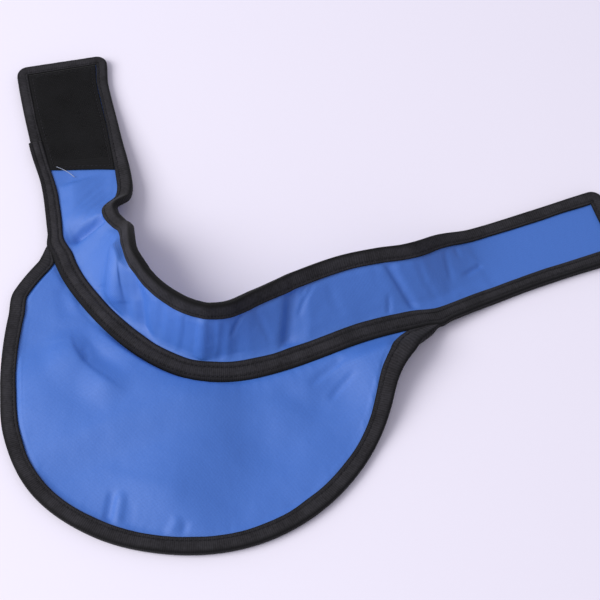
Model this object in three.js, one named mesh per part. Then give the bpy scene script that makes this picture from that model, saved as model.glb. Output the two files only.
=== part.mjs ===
// A thyroid shield collar with a bib, opened out and lying face up on a table.
// It is two padded panels of blue nylon, a collar band and a bib, bound with black tape.
// Millimetres, +Z up. The origin is under the middle of the collar, on the table.
// +X runs from the tab's end to the strap's end, and +Y from the bib's hem to the neck space.

import * as THREE from 'three';

// Panels: a lead rubber core between two cloths
const COLLAR_LENGTH = 616;
const BAND_WIDTH = 58.5;
const PANEL_THICKNESS = 4;
const EDGE_THICKNESS = 3;
const CORNER_RADIUS = 8;
const BIB_RADIUS = 129;

// Black tape: the binding folded round each edge, and the wider tape on the neck seam
const TAPE_THICKNESS = 1;
const BINDING_WIDTH = 10.5;
const SEAM_TAPE_WIDTH = 13.5;
const SEAM_WEB = 1;
const CLEARANCE = 0.3;

// Fastener: a hook patch on the tab's face and its loop patch under the strap's end
const PATCH_LENGTH = 86;
const PATCH_SLANT = 13;
const HOOK_THICKNESS = 1.4;
const LOOP_THICKNESS = 0.9;

// How far the binding's outer fold is rounded, and the corner that its inner edge turns
const FOLD_ROUND = 0.5;
const INNER_CORNER_RADIUS = 0.5;

// How far apart the tapes stand where the bib's panel ends between them
const TIP_WIDTH = 4;

// The longest step along a piece, and the short reach over which a slope is taken
const STEP_LENGTH = 10;
const SLOPE_REACH = STEP_LENGTH / 20;

// Where the bib is sewn to the band, and where the seam tape starts on the tab's edge
const LEFT_JUNCTION = 0.242;
const RIGHT_JUNCTION = 0.774;
const TAPE_START = 0.111;

// The collar as it lies. along: share of the collar's length. heading: degrees of the lower
// edge from +X. lift: share of the band's width that the lower edge stands off the table.
// seam, band: degrees that the seam tape's strip and the band above it lean up.
// width: share of the band's width. tape: share of the binding's width.
const STATIONS = [
  { along: 0.00, heading: -79.0, lift: 0.00, seam: 0, band: 0, width: 1.12, tape: 0.75 },
  { along: 0.05, heading: -76.5, lift: 0.00, seam: 0, band: 0, width: 1.08, tape: 0.75 },
  { along: 0.10, heading: -74.8, lift: 0.00, seam: 0, band: 2, width: 1.08, tape: 0.75 },
  { along: 0.15, heading: -73.5, lift: 0.00, seam: 0, band: 6, width: 1.06, tape: 0.85 },
  { along: 0.19, heading: -79.0, lift: 0.00, seam: 2, band: 10, width: 1.03, tape: 1.00 },
  { along: 0.21, heading: -80.5, lift: 0.00, seam: 4, band: 18, width: 1.00, tape: 1.00 },
  { along: 0.24, heading: -79.0, lift: 0.00, seam: 6, band: 44, width: 1.00, tape: 1.00 },
  { along: 0.27, heading: -70.0, lift: 0.00, seam: 8, band: 40, width: 1.00, tape: 1.00 },
  { along: 0.31, heading: -57.0, lift: 0.01, seam: 10, band: 46, width: 1.00, tape: 1.00 },
  { along: 0.35, heading: -50.5, lift: 0.03, seam: 12, band: 57, width: 1.00, tape: 1.00 },
  { along: 0.39, heading: -44.0, lift: 0.04, seam: 14, band: 61, width: 1.00, tape: 1.00 },
  { along: 0.43, heading: -35.0, lift: 0.04, seam: 15, band: 63, width: 1.00, tape: 1.00 },
  { along: 0.465, heading: -25.0, lift: 0.04, seam: 15, band: 64, width: 1.00, tape: 1.00 },
  { along: 0.50, heading: -9.0, lift: 0.04, seam: 15, band: 64, width: 1.00, tape: 1.00 },
  { along: 0.54, heading: 6.0, lift: 0.04, seam: 15, band: 60, width: 1.00, tape: 1.00 },
  { along: 0.58, heading: 15.5, lift: 0.06, seam: 12, band: 46, width: 1.01, tape: 1.00 },
  { along: 0.64, heading: 22.0, lift: 0.09, seam: 10, band: 36, width: 1.04, tape: 1.00 },
  { along: 0.68, heading: 20.0, lift: 0.11, seam: 8, band: 33, width: 1.04, tape: 1.00 },
  { along: 0.72, heading: 15.5, lift: 0.11, seam: 6, band: 33, width: 1.02, tape: 1.00 },
  { along: 0.76, heading: 20.0, lift: 0.08, seam: 4, band: 34, width: 1.00, tape: 1.00 },
  { along: 0.80, heading: 27.0, lift: 0.04, seam: 2, band: 24, width: 1.00, tape: 1.00 },
  { along: 0.85, heading: 24.0, lift: 0.00, seam: 0, band: 4, width: 0.97, tape: 0.95 },
  { along: 0.92, heading: 20.0, lift: 0.00, seam: 0, band: 0, width: 0.96, tape: 0.95 },
  { along: 1.00, heading: 18.4, lift: 0.00, seam: 0, band: 0, width: 0.98, tape: 0.95 },
];

// Folds across the band. along: share of the length where the fold crosses mid width.
// slant: how far it runs along for each step up. spread and depth: shares of the band's
// width, a valley where depth is negative.
const BAND_FOLDS = [
  { along: 0.250, slant: -0.27, spread: 0.07, depth: -0.045 },
  { along: 0.360, slant: -0.90, spread: 0.09, depth: 0.032 },
  { along: 0.405, slant: -0.72, spread: 0.09, depth: -0.032 },
  { along: 0.502, slant: 0.00, spread: 0.08, depth: 0.030 },
  { along: 0.545, slant: 0.12, spread: 0.10, depth: -0.020 },
  { along: 0.612, slant: 0.40, spread: 0.07, depth: -0.055 },
  { along: 0.738, slant: -0.35, spread: 0.07, depth: -0.030 },
  { along: 0.804, slant: 0.28, spread: 0.07, depth: -0.020 },
];

// The bib's hem about the middle of its round edge. bearing: degrees clockwise from the line
// between the junctions. reach: share of the bib's radius. tape: share of the binding's width.
const HEM = [
  { bearing: 210.4, reach: 1.118, tape: 1.00 },
  { bearing: 203, reach: 1.060, tape: 1.00 },
  { bearing: 192, reach: 1.062, tape: 1.00 },
  { bearing: 184, reach: 1.020, tape: 1.00 },
  { bearing: 172, reach: 0.986, tape: 1.00 },
  { bearing: 160, reach: 0.977, tape: 1.00 },
  { bearing: 145, reach: 1.000, tape: 1.00 },
  { bearing: 125, reach: 1.022, tape: 1.00 },
  { bearing: 105, reach: 1.005, tape: 1.00 },
  { bearing: 80, reach: 0.986, tape: 1.00 },
  { bearing: 50, reach: 0.993, tape: 1.00 },
  { bearing: 10, reach: 0.998, tape: 1.00 },
  { bearing: -3, reach: 0.996, tape: 1.05 },
  { bearing: -10, reach: 1.018, tape: 1.20 },
  { bearing: -16, reach: 1.090, tape: 1.35 },
  { bearing: -24, reach: 1.252, tape: 1.40 },
];
const HEM_MIDDLE_ALONG = 0.4475;
const HEM_MIDDLE_DROP = 0.569;

// Swells and dents of the bib. across: share of the line between the junctions. down, spread
// and rise: shares of the bib's radius, a dent where rise is negative.
const BIB_SWELLS = [
  { across: 0.94, down: 0.34, spread: 0.25, rise: 0.072 },
  { across: 0.21, down: 0.63, spread: 0.11, rise: -0.020 },
  { across: 0.80, down: 0.50, spread: 0.10, rise: -0.016 },
];

// Sizes that follow
const FLANGE_INSIDE = EDGE_THICKNESS / 2 + CLEARANCE;
const FLANGE_OUTSIDE = FLANGE_INSIDE + TAPE_THICKNESS;
const PANEL_INSET = TAPE_THICKNESS + CLEARANCE;
const BEND_LENGTH = SEAM_TAPE_WIDTH / 2;
const SWELL_LENGTH = BINDING_WIDTH / 2;
const SEAM_RUNOUT = SEAM_TAPE_WIDTH * 1.7;
const SEAM_MARGIN = (SEAM_TAPE_WIDTH - SEAM_WEB) / 2;
const BOUND_CORNER = Math.max(CORNER_RADIUS, BINDING_WIDTH) + STEP_LENGTH / 4;
const NECK_START = LEFT_JUNCTION * COLLAR_LENGTH;
const NECK_END = RIGHT_JUNCTION * COLLAR_LENGTH;
const SEAM_TAPE_START = TAPE_START * COLLAR_LENGTH;
const SEAM_TAPE_END = COLLAR_LENGTH - BOUND_CORNER;

// Facets round a corner, and rows of them across the open part of a panel or a patch
const CORNER_STEPS = 3;
const COLLAR_ROWS = 8;
const BIB_ROWS = 11;
const PATCH_ROWS = 4;

function radians(degrees) {
  return degrees * Math.PI / 180;
}

function clamp(value, low, high) {
  return Math.min(Math.max(value, low), high);
}

function smooth(share) {
  const t = clamp(share, 0, 1);
  return t * t * (3 - 2 * t);
}

// The form of a fold or a swell: whole in its middle, half at one spread and nothing at two
function bump(spreads) {
  return smooth(1 - Math.abs(spreads) / 2);
}

// A smooth curve through one column of a table: cubic between rows, with each row's slope
// taken from its neighbours, level where the column turns or stays, and beyond the ends.
function columnCurve(rows, place, column) {
  const at = rows.map((row) => row[place]);
  const value = rows.map((row) => row[column]);
  const slope = at.map((unused, i) => {
    const before = Math.max(i - 1, 0);
    const after = Math.min(i + 1, at.length - 1);
    const goesOn = (value[i] - value[before]) * (value[after] - value[i]) > 0;
    return goesOn ? (value[after] - value[before]) / (at[after] - at[before]) : 0;
  });
  const down = at[at.length - 1] < at[0] ? -1 : 1;
  return (wanted) => {
    let i = 0;
    while (i < at.length - 2 && down * wanted > down * at[i + 1]) i += 1;
    const span = at[i + 1] - at[i];
    const t = clamp((wanted - at[i]) / span, 0, 1);
    const t2 = t * t;
    const t3 = t2 * t;
    return (2 * t3 - 3 * t2 + 1) * value[i] + (t3 - 2 * t2 + t) * span * slope[i]
      + (3 * t2 - 2 * t3) * value[i + 1] + (t3 - t2) * span * slope[i + 1];
  };
}

const headingAt = columnCurve(STATIONS, 'along', 'heading');
const liftAt = columnCurve(STATIONS, 'along', 'lift');
const seamLeanAt = columnCurve(STATIONS, 'along', 'seam');
const bandLeanAt = columnCurve(STATIONS, 'along', 'band');
const widthShareAt = columnCurve(STATIONS, 'along', 'width');
const tapeShareAt = columnCurve(STATIONS, 'along', 'tape');

function bandWidth(s) {
  return BAND_WIDTH * widthShareAt(s / COLLAR_LENGTH);
}

function bindingWidth(s) {
  return BINDING_WIDTH * tapeShareAt(s / COLLAR_LENGTH);
}

// The collar's lower edge in plan: its heading, followed in short equal steps.
const EDGE_STEPS = 300;
const EDGE_STEP = COLLAR_LENGTH / EDGE_STEPS;
const lowerEdge = [new THREE.Vector2(0, 0)];
for (let i = 0; i < EDGE_STEPS; i += 1) {
  const heading = radians(headingAt((i + 0.5) / EDGE_STEPS));
  const last = lowerEdge[i];
  lowerEdge.push(new THREE.Vector2(
    last.x + EDGE_STEP * Math.cos(heading),
    last.y + EDGE_STEP * Math.sin(heading),
  ));
}

function lowerEdgeAt(s) {
  const i = clamp(Math.floor(s / EDGE_STEP), 0, EDGE_STEPS - 1);
  return lowerEdge[i].clone().lerp(lowerEdge[i + 1], s / EDGE_STEP - i);
}

// The line between the junctions, and the middle of the bib's round edge below it
const leftJunction = lowerEdgeAt(NECK_START);
const rightJunction = lowerEdgeAt(NECK_END);
const junctionLine = rightJunction.clone().sub(leftJunction);
const acrossBib = junctionLine.clone().normalize();
const downBib = new THREE.Vector2(acrossBib.y, -acrossBib.x);
const hemMiddle = leftJunction.clone()
  .addScaledVector(junctionLine, HEM_MIDDLE_ALONG)
  .addScaledVector(downBib, HEM_MIDDLE_DROP * BIB_RADIUS);

const hemReachAt = columnCurve(HEM, 'bearing', 'reach');
const hemTapeAt = columnCurve(HEM, 'bearing', 'tape');
const HEM_FIRST = HEM[0].bearing;
const HEM_LAST = HEM[HEM.length - 1].bearing;

function hemBearing(u) {
  return THREE.MathUtils.lerp(HEM_FIRST, HEM_LAST, u);
}

function hemTapeWidth(u) {
  return BINDING_WIDTH * hemTapeAt(hemBearing(u));
}

// The share of the hem over which each of its ends is drawn over to its junction
const TIP_BLEND = 0.25;

// The hem before that: a reach from its middle for each bearing
function roundEdge(u) {
  const bearing = hemBearing(u);
  const reach = BIB_RADIUS * hemReachAt(bearing);
  return hemMiddle.clone()
    .addScaledVector(acrossBib, reach * Math.cos(radians(bearing)))
    .addScaledVector(downBib, reach * Math.sin(radians(bearing)));
}

const HEM_LENGTH = BIB_RADIUS * radians(HEM_FIRST - HEM_LAST);
const leftDraw = leftJunction.clone().sub(roundEdge(0));
const rightDraw = rightJunction.clone().sub(roundEdge(1));

// A point on the hem, u from the left junction to the right one
function hemAt(u) {
  return roundEdge(u)
    .addScaledVector(leftDraw, 1 - smooth(u / TIP_BLEND))
    .addScaledVector(rightDraw, smooth((u - 1 + TIP_BLEND) / TIP_BLEND));
}

const FINE_SHARE = SLOPE_REACH / HEM_LENGTH;

// A point on the hem's inner side, square to it
function hemInset(u, inset) {
  const along = hemAt(u + FINE_SHARE).sub(hemAt(u - FINE_SHARE)).normalize();
  return hemAt(u).add(new THREE.Vector2(-along.y, along.x).multiplyScalar(inset));
}

// The nearest place on the band's lower edge, and how far outside it a point in plan lies
function nearestOnEdge(point) {
  let best = { distance: Infinity };
  for (let i = 0; i < EDGE_STEPS; i += 1) {
    const step = lowerEdge[i + 1].clone().sub(lowerEdge[i]);
    const away = point.clone().sub(lowerEdge[i]);
    const share = clamp(away.dot(step) / step.lengthSq(), 0, 1);
    const distance = away.clone().addScaledVector(step, -share).length();
    if (distance < best.distance) {
      best = { distance, s: (i + share) * EDGE_STEP, outside: step.cross(away) < 0 };
    }
  }
  return { s: best.s, out: best.outside ? best.distance : -best.distance };
}

// How far in from the hem the binding reaches: its width, or less where the seam tape is
// near, whose upper strip leans out over the band's lower edge.
function hemTapeReach(u) {
  const clears = (inset) => {
    const { s, out } = nearestOnEdge(hemInset(u, inset));
    return out > CLEARANCE + FLANGE_OUTSIDE * Math.sin(radians(seamLeanAt(s / COLLAR_LENGTH)));
  };
  const wanted = hemTapeWidth(u);
  if (clears(wanted)) return wanted;
  let low = 0;
  let high = wanted;
  for (let i = 0; i < 12; i += 1) {
    const middle = (low + high) / 2;
    if (clears(middle)) low = middle;
    else high = middle;
  }
  return low;
}

// Where the bib's panel starts and ends along the hem: in a narrow tip between the binding's
// inner edge and the seam tape. Each of its columns runs on from the binding's inner edge to
// the nearest place on the band's lower edge, its foot.
function firstShare(start, step, fits) {
  let u = start;
  while (!fits(u)) u += step;
  return u;
}

const panelIsThere = (u) => nearestOnEdge(hemInset(u, hemTapeWidth(u))).out >= TIP_WIDTH;
const PANEL_START = firstShare(0, FINE_SHARE, panelIsThere);
const PANEL_END = firstShare(1, -FINE_SHARE, panelIsThere);
const PANEL_SHARES = evenSteps(PANEL_START, PANEL_END, STEP_LENGTH / HEM_LENGTH);

function footOf(u) {
  return nearestOnEdge(hemInset(u, hemTapeWidth(u))).s;
}

// How far the bib has joined the seam tape: none outside the junctions, all a step before
// the panel's first foot and a step after its last.
const JOINED_FROM = footOf(PANEL_START) - STEP_LENGTH;
const JOINED_TO = footOf(PANEL_END) + STEP_LENGTH;
function joined(s) {
  const left = smooth((s - NECK_START) / (JOINED_FROM - NECK_START));
  const right = smooth((NECK_END - s) / (NECK_END - JOINED_TO));
  return left * right;
}

// How far a strip that starts at one lean and ends at another reaches in and climbs, as an arc.
function arcRun(length, startLean, endLean) {
  const half = (endLean - startLean) / 2;
  const chord = Math.abs(half) < 1e-6 ? length : length * Math.sin(half) / half;
  const lean = startLean + half;
  return [chord * Math.cos(lean), chord * Math.sin(lean)];
}

// The height of the folds at a place on the band. They fade out towards the seam tape.
function foldHeight(s, w) {
  const width = bandWidth(s);
  const fade = smooth((w - SEAM_TAPE_WIDTH) / BEND_LENGTH);
  return BAND_FOLDS.reduce((sum, fold) => {
    const middle = fold.along * COLLAR_LENGTH + fold.slant * (w - width / 2);
    const away = (s - middle) / (fold.spread * BAND_WIDTH);
    return sum + fade * fold.depth * BAND_WIDTH * bump(away);
  }, 0);
}

function edgeHeight(s) {
  return FLANGE_OUTSIDE + liftAt(s / COLLAR_LENGTH) * BAND_WIDTH;
}

// A point on the band's middle sheet, s along the lower edge and w up across the band. The
// seam tape's strip is straight, then the sheet bends, and the band above it is straight.
function bandSheet(s, w) {
  const along = s / COLLAR_LENGTH;
  const heading = radians(headingAt(along));
  const seamLean = radians(seamLeanAt(along));
  const bandLean = radians(bandLeanAt(along));
  const strip = Math.min(w, SEAM_TAPE_WIDTH);
  const bend = clamp(w - SEAM_TAPE_WIDTH, 0, BEND_LENGTH);
  const rest = Math.max(w - SEAM_TAPE_WIDTH - BEND_LENGTH, 0);
  const bendLean = seamLean + (bandLean - seamLean) * bend / BEND_LENGTH;
  const [bendReach, bendRise] = arcRun(bend, seamLean, bendLean);
  const reach = strip * Math.cos(seamLean) + bendReach + rest * Math.cos(bandLean);
  const rise = strip * Math.sin(seamLean) + bendRise + rest * Math.sin(bandLean);
  const foot = lowerEdgeAt(s);
  const fold = foldHeight(s, w);
  return new THREE.Vector3(
    foot.x - Math.sin(heading) * (reach - fold * Math.sin(bandLean)),
    foot.y + Math.cos(heading) * (reach - fold * Math.sin(bandLean)),
    edgeHeight(s) + rise + fold * Math.cos(bandLean),
  );
}

// A point off a sheet by a distance along its normal, which points up and out of the face.
// No point lies lower than the table.
function offSheet(sheet, u, v, distance) {
  const alongU = sheet(u + SLOPE_REACH, v).sub(sheet(u - SLOPE_REACH, v));
  const alongV = sheet(u, v + SLOPE_REACH).sub(sheet(u, v - SLOPE_REACH));
  const normal = alongU.cross(alongV).normalize();
  const place = sheet(u, v).addScaledVector(normal, distance);
  place.z = Math.max(place.z, 0);
  return place;
}

function onBand(s, w, distance) {
  return offSheet(bandSheet, s, w, distance);
}

// The lower edge of the band's panel, inside the tape.
function panelFoot(s) {
  return PANEL_INSET + joined(s) * (SEAM_MARGIN + SEAM_WEB - TAPE_THICKNESS);
}

function seamTapeWidth(s) {
  return THREE.MathUtils.lerp(bindingWidth(s), SEAM_TAPE_WIDTH, joined(s));
}

// Where the patches sewn on the tab and the strap end
const TAB_PATCH_END = bindingWidth(0) + PATCH_LENGTH + PATCH_SLANT;
const STRAP_PATCH_END = COLLAR_LENGTH - bindingWidth(COLLAR_LENGTH) - PATCH_LENGTH;

// Half the panel's thickness, pressed thin under the tape and full a little way in from it.
function halfThickness(inFromTape) {
  const full = smooth(inFromTape / SWELL_LENGTH);
  return (EDGE_THICKNESS + (PANEL_THICKNESS - EDGE_THICKNESS) * full) / 2;
}

function evenSteps(start, end, step) {
  const count = Math.max(Math.ceil(Math.abs(end - start) / step - 1e-6), 1);
  return Array.from({ length: count + 1 }, (unused, i) => start + (end - start) * i / count);
}

// Places along the collar, the same for every piece of it, so that neighbours stay parallel
const COLLAR_PLACES = evenSteps(BOUND_CORNER, COLLAR_LENGTH - BOUND_CORNER, STEP_LENGTH);

function placesBetween(start, end) {
  const inner = COLLAR_PLACES.filter((s) => s > start + 1 && s < end - 1);
  return [start, ...inner, end];
}

// A closed solid through rings of points, with the same count in each ring. The flat outline
// of a ring, its points in two numbers, says how its end caps are cut into triangles.
function solidThrough(rings, outline) {
  const count = outline.length;
  const points = rings.flat();
  const faces = [];
  for (let k = 0; k < rings.length - 1; k += 1) {
    for (let j = 0; j < count; j += 1) {
      const here = k * count + j;
      const beside = k * count + (j + 1) % count;
      faces.push([here, beside, here + count], [beside, beside + count, here + count]);
    }
  }
  const turn = Math.sign(THREE.ShapeUtils.area(outline));
  const lastRing = (rings.length - 1) * count;
  THREE.ShapeUtils.triangulateShape(outline, []).forEach(([a, b, c]) => {
    const area = THREE.ShapeUtils.area([outline[a], outline[b], outline[c]]);
    const [p, q] = area * turn > 0 ? [b, c] : [c, b];
    faces.push([a, q, p], [a + lastRing, p + lastRing, q + lastRing]);
  });
  const volume = faces.reduce((sum, [a, b, c]) => (
    sum + points[a].dot(points[b].clone().cross(points[c]))
  ), 0);
  const outward = volume > 0 ? faces : faces.map(([a, b, c]) => [a, c, b]);
  const geometry = new THREE.BufferGeometry().setFromPoints(points);
  geometry.setIndex(outward.flat());
  geometry.computeVertexNormals();
  return geometry;
}

// A slab through columns of places on a sheet: its top points up each column, then its
// bottom points back down. Each place says where it is and how far off the faces lie.
function slabThrough(columns) {
  const rings = columns.map((places) => [
    ...places.map((place) => place.at(place.above)),
    ...places.map((place) => place.at(place.below)).reverse(),
  ]);
  const rows = columns[0].length;
  const outline = [
    ...Array.from({ length: rows }, (unused, i) => new THREE.Vector2(i, 1)),
    ...Array.from({ length: rows }, (unused, i) => new THREE.Vector2(rows - 1 - i, 0)),
  ];
  return solidThrough(rings, outline);
}

// The rounded outline of the band, inset from its edge. Each stop turns an inset into a
// place on the band. The four corners are arcs, and the long edges follow COLLAR_PLACES.
function cornerStops(alongEnd, upSide) {
  const across = (s) => (upSide ? bandWidth(s) : 0);
  return evenSteps(0, Math.PI / 2, Math.PI / 2 / CORNER_STEPS).map((angle) => (inset) => {
    const radius = Math.max(CORNER_RADIUS - inset, INNER_CORNER_RADIUS);
    const fromEnd = inset + radius - radius * Math.cos(angle);
    const fromSide = inset + radius - radius * Math.sin(angle);
    const s = alongEnd ? COLLAR_LENGTH - fromEnd : fromEnd;
    return [s, upSide ? across(s) - fromSide : fromSide];
  });
}

function endStop(alongEnd) {
  return (inset) => {
    const s = alongEnd ? COLLAR_LENGTH - inset : inset;
    return [s, bandWidth(s) / 2];
  };
}

// Collar band panel: cloth on both faces, pressed thin where a tape or a patch holds it
function collarPanel() {
  const corner = CORNER_RADIUS - PANEL_INSET;
  const nearEnd = evenSteps(0, Math.PI / 2, Math.PI / 2 / CORNER_STEPS).map((angle) => ({
    fromEnd: PANEL_INSET + corner - corner * Math.cos(angle),
    cut: corner - corner * Math.sin(angle),
  }));
  const farEnd = nearEnd.map((place) => ({ s: COLLAR_LENGTH - place.fromEnd, cut: place.cut }));
  const places = [
    ...nearEnd.map((place) => ({ s: place.fromEnd, cut: place.cut })),
    ...COLLAR_PLACES.map((s) => ({ s, cut: 0 })),
    ...farEnd.reverse(),
  ];
  return slabThrough(places.map(({ s, cut }) => {
    const foot = panelFoot(s) + cut;
    const top = bandWidth(s) - PANEL_INSET - cut;
    const seamSide = seamTapeWidth(s);
    const bindingSide = bandWidth(s) - bindingWidth(s);
    const open = evenSteps(seamSide, bindingSide, (bindingSide - seamSide) / COLLAR_ROWS);
    return [foot, ...open, top].map((w) => {
      const fromPatches = Math.min(s - TAB_PATCH_END, STRAP_PATCH_END - s);
      const half = halfThickness(Math.min(w - seamSide, bindingSide - w, fromPatches));
      return { at: (distance) => onBand(s, w, distance), above: half, below: -half };
    });
  }));
}

// The section of the tape folded round an edge: inset from the edge, and off the sheet
function bindingSection(reach) {
  return [
    [0, -FLANGE_OUTSIDE + TAPE_THICKNESS],
    [FOLD_ROUND, -FLANGE_OUTSIDE],
    [reach, -FLANGE_OUTSIDE],
    [reach, -FLANGE_INSIDE],
    [TAPE_THICKNESS, -FLANGE_INSIDE],
    [TAPE_THICKNESS, FLANGE_INSIDE],
    [reach, FLANGE_INSIDE],
    [reach, FLANGE_OUTSIDE],
    [FOLD_ROUND, FLANGE_OUTSIDE],
    [0, FLANGE_OUTSIDE - TAPE_THICKNESS],
  ].map(([inset, off]) => new THREE.Vector2(inset, off));
}

// Collar binding: from the seam tape's start on the tab, round the tab's end, along the
// band's upper edge, round the strap's end and on to the seam tape's other end
function collarBinding() {
  const stops = [
    ...placesBetween(BOUND_CORNER, SEAM_TAPE_START - CLEARANCE).reverse()
      .map((s) => (inset) => [s, inset]),
    ...cornerStops(false, false).reverse(),
    endStop(false),
    ...cornerStops(false, true),
    ...COLLAR_PLACES.map((s) => (inset) => [s, bandWidth(s) - inset]),
    ...cornerStops(true, true).reverse(),
    endStop(true),
    ...cornerStops(true, false),
    (inset) => [SEAM_TAPE_END + CLEARANCE, inset],
  ];
  // Walked backwards, its facets are cut the same way as the panel's that they lie on.
  const rings = stops.reverse().map((stop) => {
    const section = bindingSection(bindingWidth(stop(0)[0]));
    return section.map((place) => onBand(...stop(place.x), place.y));
  });
  return solidThrough(rings, bindingSection(BINDING_WIDTH));
}

// The seam tape's section: a fold round the band's lower edge on the tab and the strap, and
// between the junctions two strips with the bib's margin in a pocket of its own
function seamTapeSection(s) {
  const share = joined(s);
  const pocket = share * SEAM_MARGIN;
  const mouth = FLANGE_INSIDE * (1 + share) / 2;
  const foot = panelFoot(s) - CLEARANCE;
  const reach = seamTapeWidth(s);
  return [
    [FOLD_ROUND, -FLANGE_OUTSIDE],
    [reach, -FLANGE_OUTSIDE],
    [reach, -FLANGE_INSIDE],
    [foot, -FLANGE_INSIDE],
    [foot, FLANGE_INSIDE],
    [reach, FLANGE_INSIDE],
    [reach, FLANGE_OUTSIDE],
    [FOLD_ROUND, FLANGE_OUTSIDE],
    [0, FLANGE_INSIDE],
    [pocket, mouth],
    [pocket, -mouth],
    [0, -FLANGE_INSIDE],
  ].map(([inset, off]) => new THREE.Vector2(inset, off));
}

function seamTape() {
  const middle = (NECK_START + NECK_END) / 2;
  const rings = placesBetween(SEAM_TAPE_START, SEAM_TAPE_END).map((s) => (
    seamTapeSection(s).map((place) => onBand(s, place.x, place.y))
  ));
  return solidThrough(rings, seamTapeSection(middle));
}

// How far inside the hem a point in plan lies, along the line to the hem's middle
function insideHem(point) {
  const away = point.clone().sub(hemMiddle);
  const turned = Math.atan2(away.dot(downBib), away.dot(acrossBib)) / Math.PI * 180;
  const bearing = turned < HEM_LAST ? turned + 360 : turned;
  const u = clamp((bearing - HEM_FIRST) / (HEM_LAST - HEM_FIRST), 0, 1);
  return { u, inside: hemAt(u).distanceTo(hemMiddle) - away.length() };
}

// The bib's middle sheet over the plan: it runs on in the seam tape's strip, sinks to the
// table over a short run, lies on it, and swells and dents as its table says
function bibSheet(x, y) {
  const point = new THREE.Vector2(x, y);
  const { s, out } = nearestOnEdge(point);
  if (out < 0) {
    const lean = radians(seamLeanAt(s / COLLAR_LENGTH));
    return new THREE.Vector3(x, y, edgeHeight(s) - out * Math.tan(lean));
  }
  const hem = insideHem(point);
  const fromTape = smooth((hem.inside - hemTapeWidth(hem.u)) / SWELL_LENGTH);
  const lying = THREE.MathUtils.lerp(FLANGE_OUTSIDE, PANEL_THICKNESS / 2, fromTape);
  const sink = bump(out / SEAM_RUNOUT);
  const away = point.sub(leftJunction);
  const swell = BIB_SWELLS.reduce((sum, row) => {
    const across = away.dot(acrossBib) - row.across * junctionLine.length();
    const down = away.dot(downBib) - row.down * BIB_RADIUS;
    const spread = row.spread * BIB_RADIUS;
    return sum + row.rise * BIB_RADIUS * bump(Math.hypot(across, down) / spread);
  }, 0);
  const height = lying + (edgeHeight(s) - lying) * sink + swell * smooth(out / SEAM_TAPE_WIDTH);
  return new THREE.Vector3(x, y, height);
}

function onBib(point, distance) {
  return offSheet(bibSheet, point.x, point.y, distance);
}

// Bib panel: its margin in the seam tape, its hem in the binding, its underside on the table
function bibPanel() {
  // Walked backwards, its facets are cut the same way as those of the tapes on it.
  return slabThrough(PANEL_SHARES.slice().reverse().map((u) => {
    const foot = footOf(u);
    const neck = lowerEdgeAt(foot);
    const flangeEnd = hemInset(u, hemTapeWidth(u));
    const run = neck.distanceTo(flangeEnd);
    const inTape = bandSheet(foot, SEAM_MARGIN - CLEARANCE);
    const rows = [
      { point: new THREE.Vector2(inTape.x, inTape.y), free: 0 },
      ...evenSteps(0, 1, 1 / BIB_ROWS).map((share) => ({
        point: neck.clone().lerp(flangeEnd, share),
        free: Math.min(share, 1 - share) * run,
      })),
      { point: hemInset(u, PANEL_INSET), free: 0 },
    ];
    return rows.map(({ point, free }) => {
      const half = halfThickness(free);
      return { at: (distance) => onBib(point, distance), above: half, below: -half };
    });
  }));
}

// Bib binding: round the hem from junction to junction, narrowing where it meets the seam tape
function bibBinding() {
  const tipIsThere = (u) => hemTapeReach(u) >= 2 * TAPE_THICKNESS;
  const first = firstShare(0, FINE_SHARE, tipIsThere);
  const last = firstShare(1, -FINE_SHARE, tipIsThere);
  const tipStep = STEP_LENGTH / 2 / HEM_LENGTH;
  const shares = [
    ...evenSteps(first, PANEL_START, tipStep).slice(0, -1),
    ...PANEL_SHARES,
    ...evenSteps(PANEL_END, last, tipStep).slice(1),
  ];
  const rings = shares.map((u) => (
    bindingSection(hemTapeReach(u)).map((place) => onBib(hemInset(u, place.x), place.y))
  ));
  return solidThrough(rings, bindingSection(BINDING_WIDTH));
}

// A patch sewn on the band between its bindings, on the upper face or the lower one. Its
// inner end is cut on a slant, further along the band at the upper binding.
function patchOnBand({ end, inward, slant, thickness, side }) {
  const near = side * FLANGE_INSIDE;
  const far = near + side * thickness;
  return slabThrough(evenSteps(0, 1, STEP_LENGTH / PATCH_LENGTH).map((share) => (
    evenSteps(0, 1, 1 / PATCH_ROWS).map((rise) => {
      const s = end + inward * share * (PATCH_LENGTH + slant * rise);
      const low = bindingWidth(s) + CLEARANCE;
      const high = bandWidth(s) - bindingWidth(s) - CLEARANCE;
      return {
        at: (distance) => onBand(s, THREE.MathUtils.lerp(low, high, rise), distance),
        above: Math.max(near, far),
        below: Math.min(near, far),
      };
    })
  )));
}

function hookPatch() {
  return patchOnBand({
    end: bindingWidth(0) + CLEARANCE,
    inward: 1,
    slant: PATCH_SLANT,
    thickness: HOOK_THICKNESS,
    side: 1,
  });
}

function loopPatch() {
  return patchOnBand({
    end: COLLAR_LENGTH - bindingWidth(COLLAR_LENGTH) - CLEARANCE,
    inward: -1,
    slant: 0,
    thickness: LOOP_THICKNESS,
    side: -1,
  });
}

function piece(name, geometry, color, roughness) {
  const material = new THREE.MeshStandardMaterial({ color, roughness, metalness: 0 });
  material.name = name;
  const mesh = new THREE.Mesh(geometry, material);
  mesh.name = name;
  return mesh;
}

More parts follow.
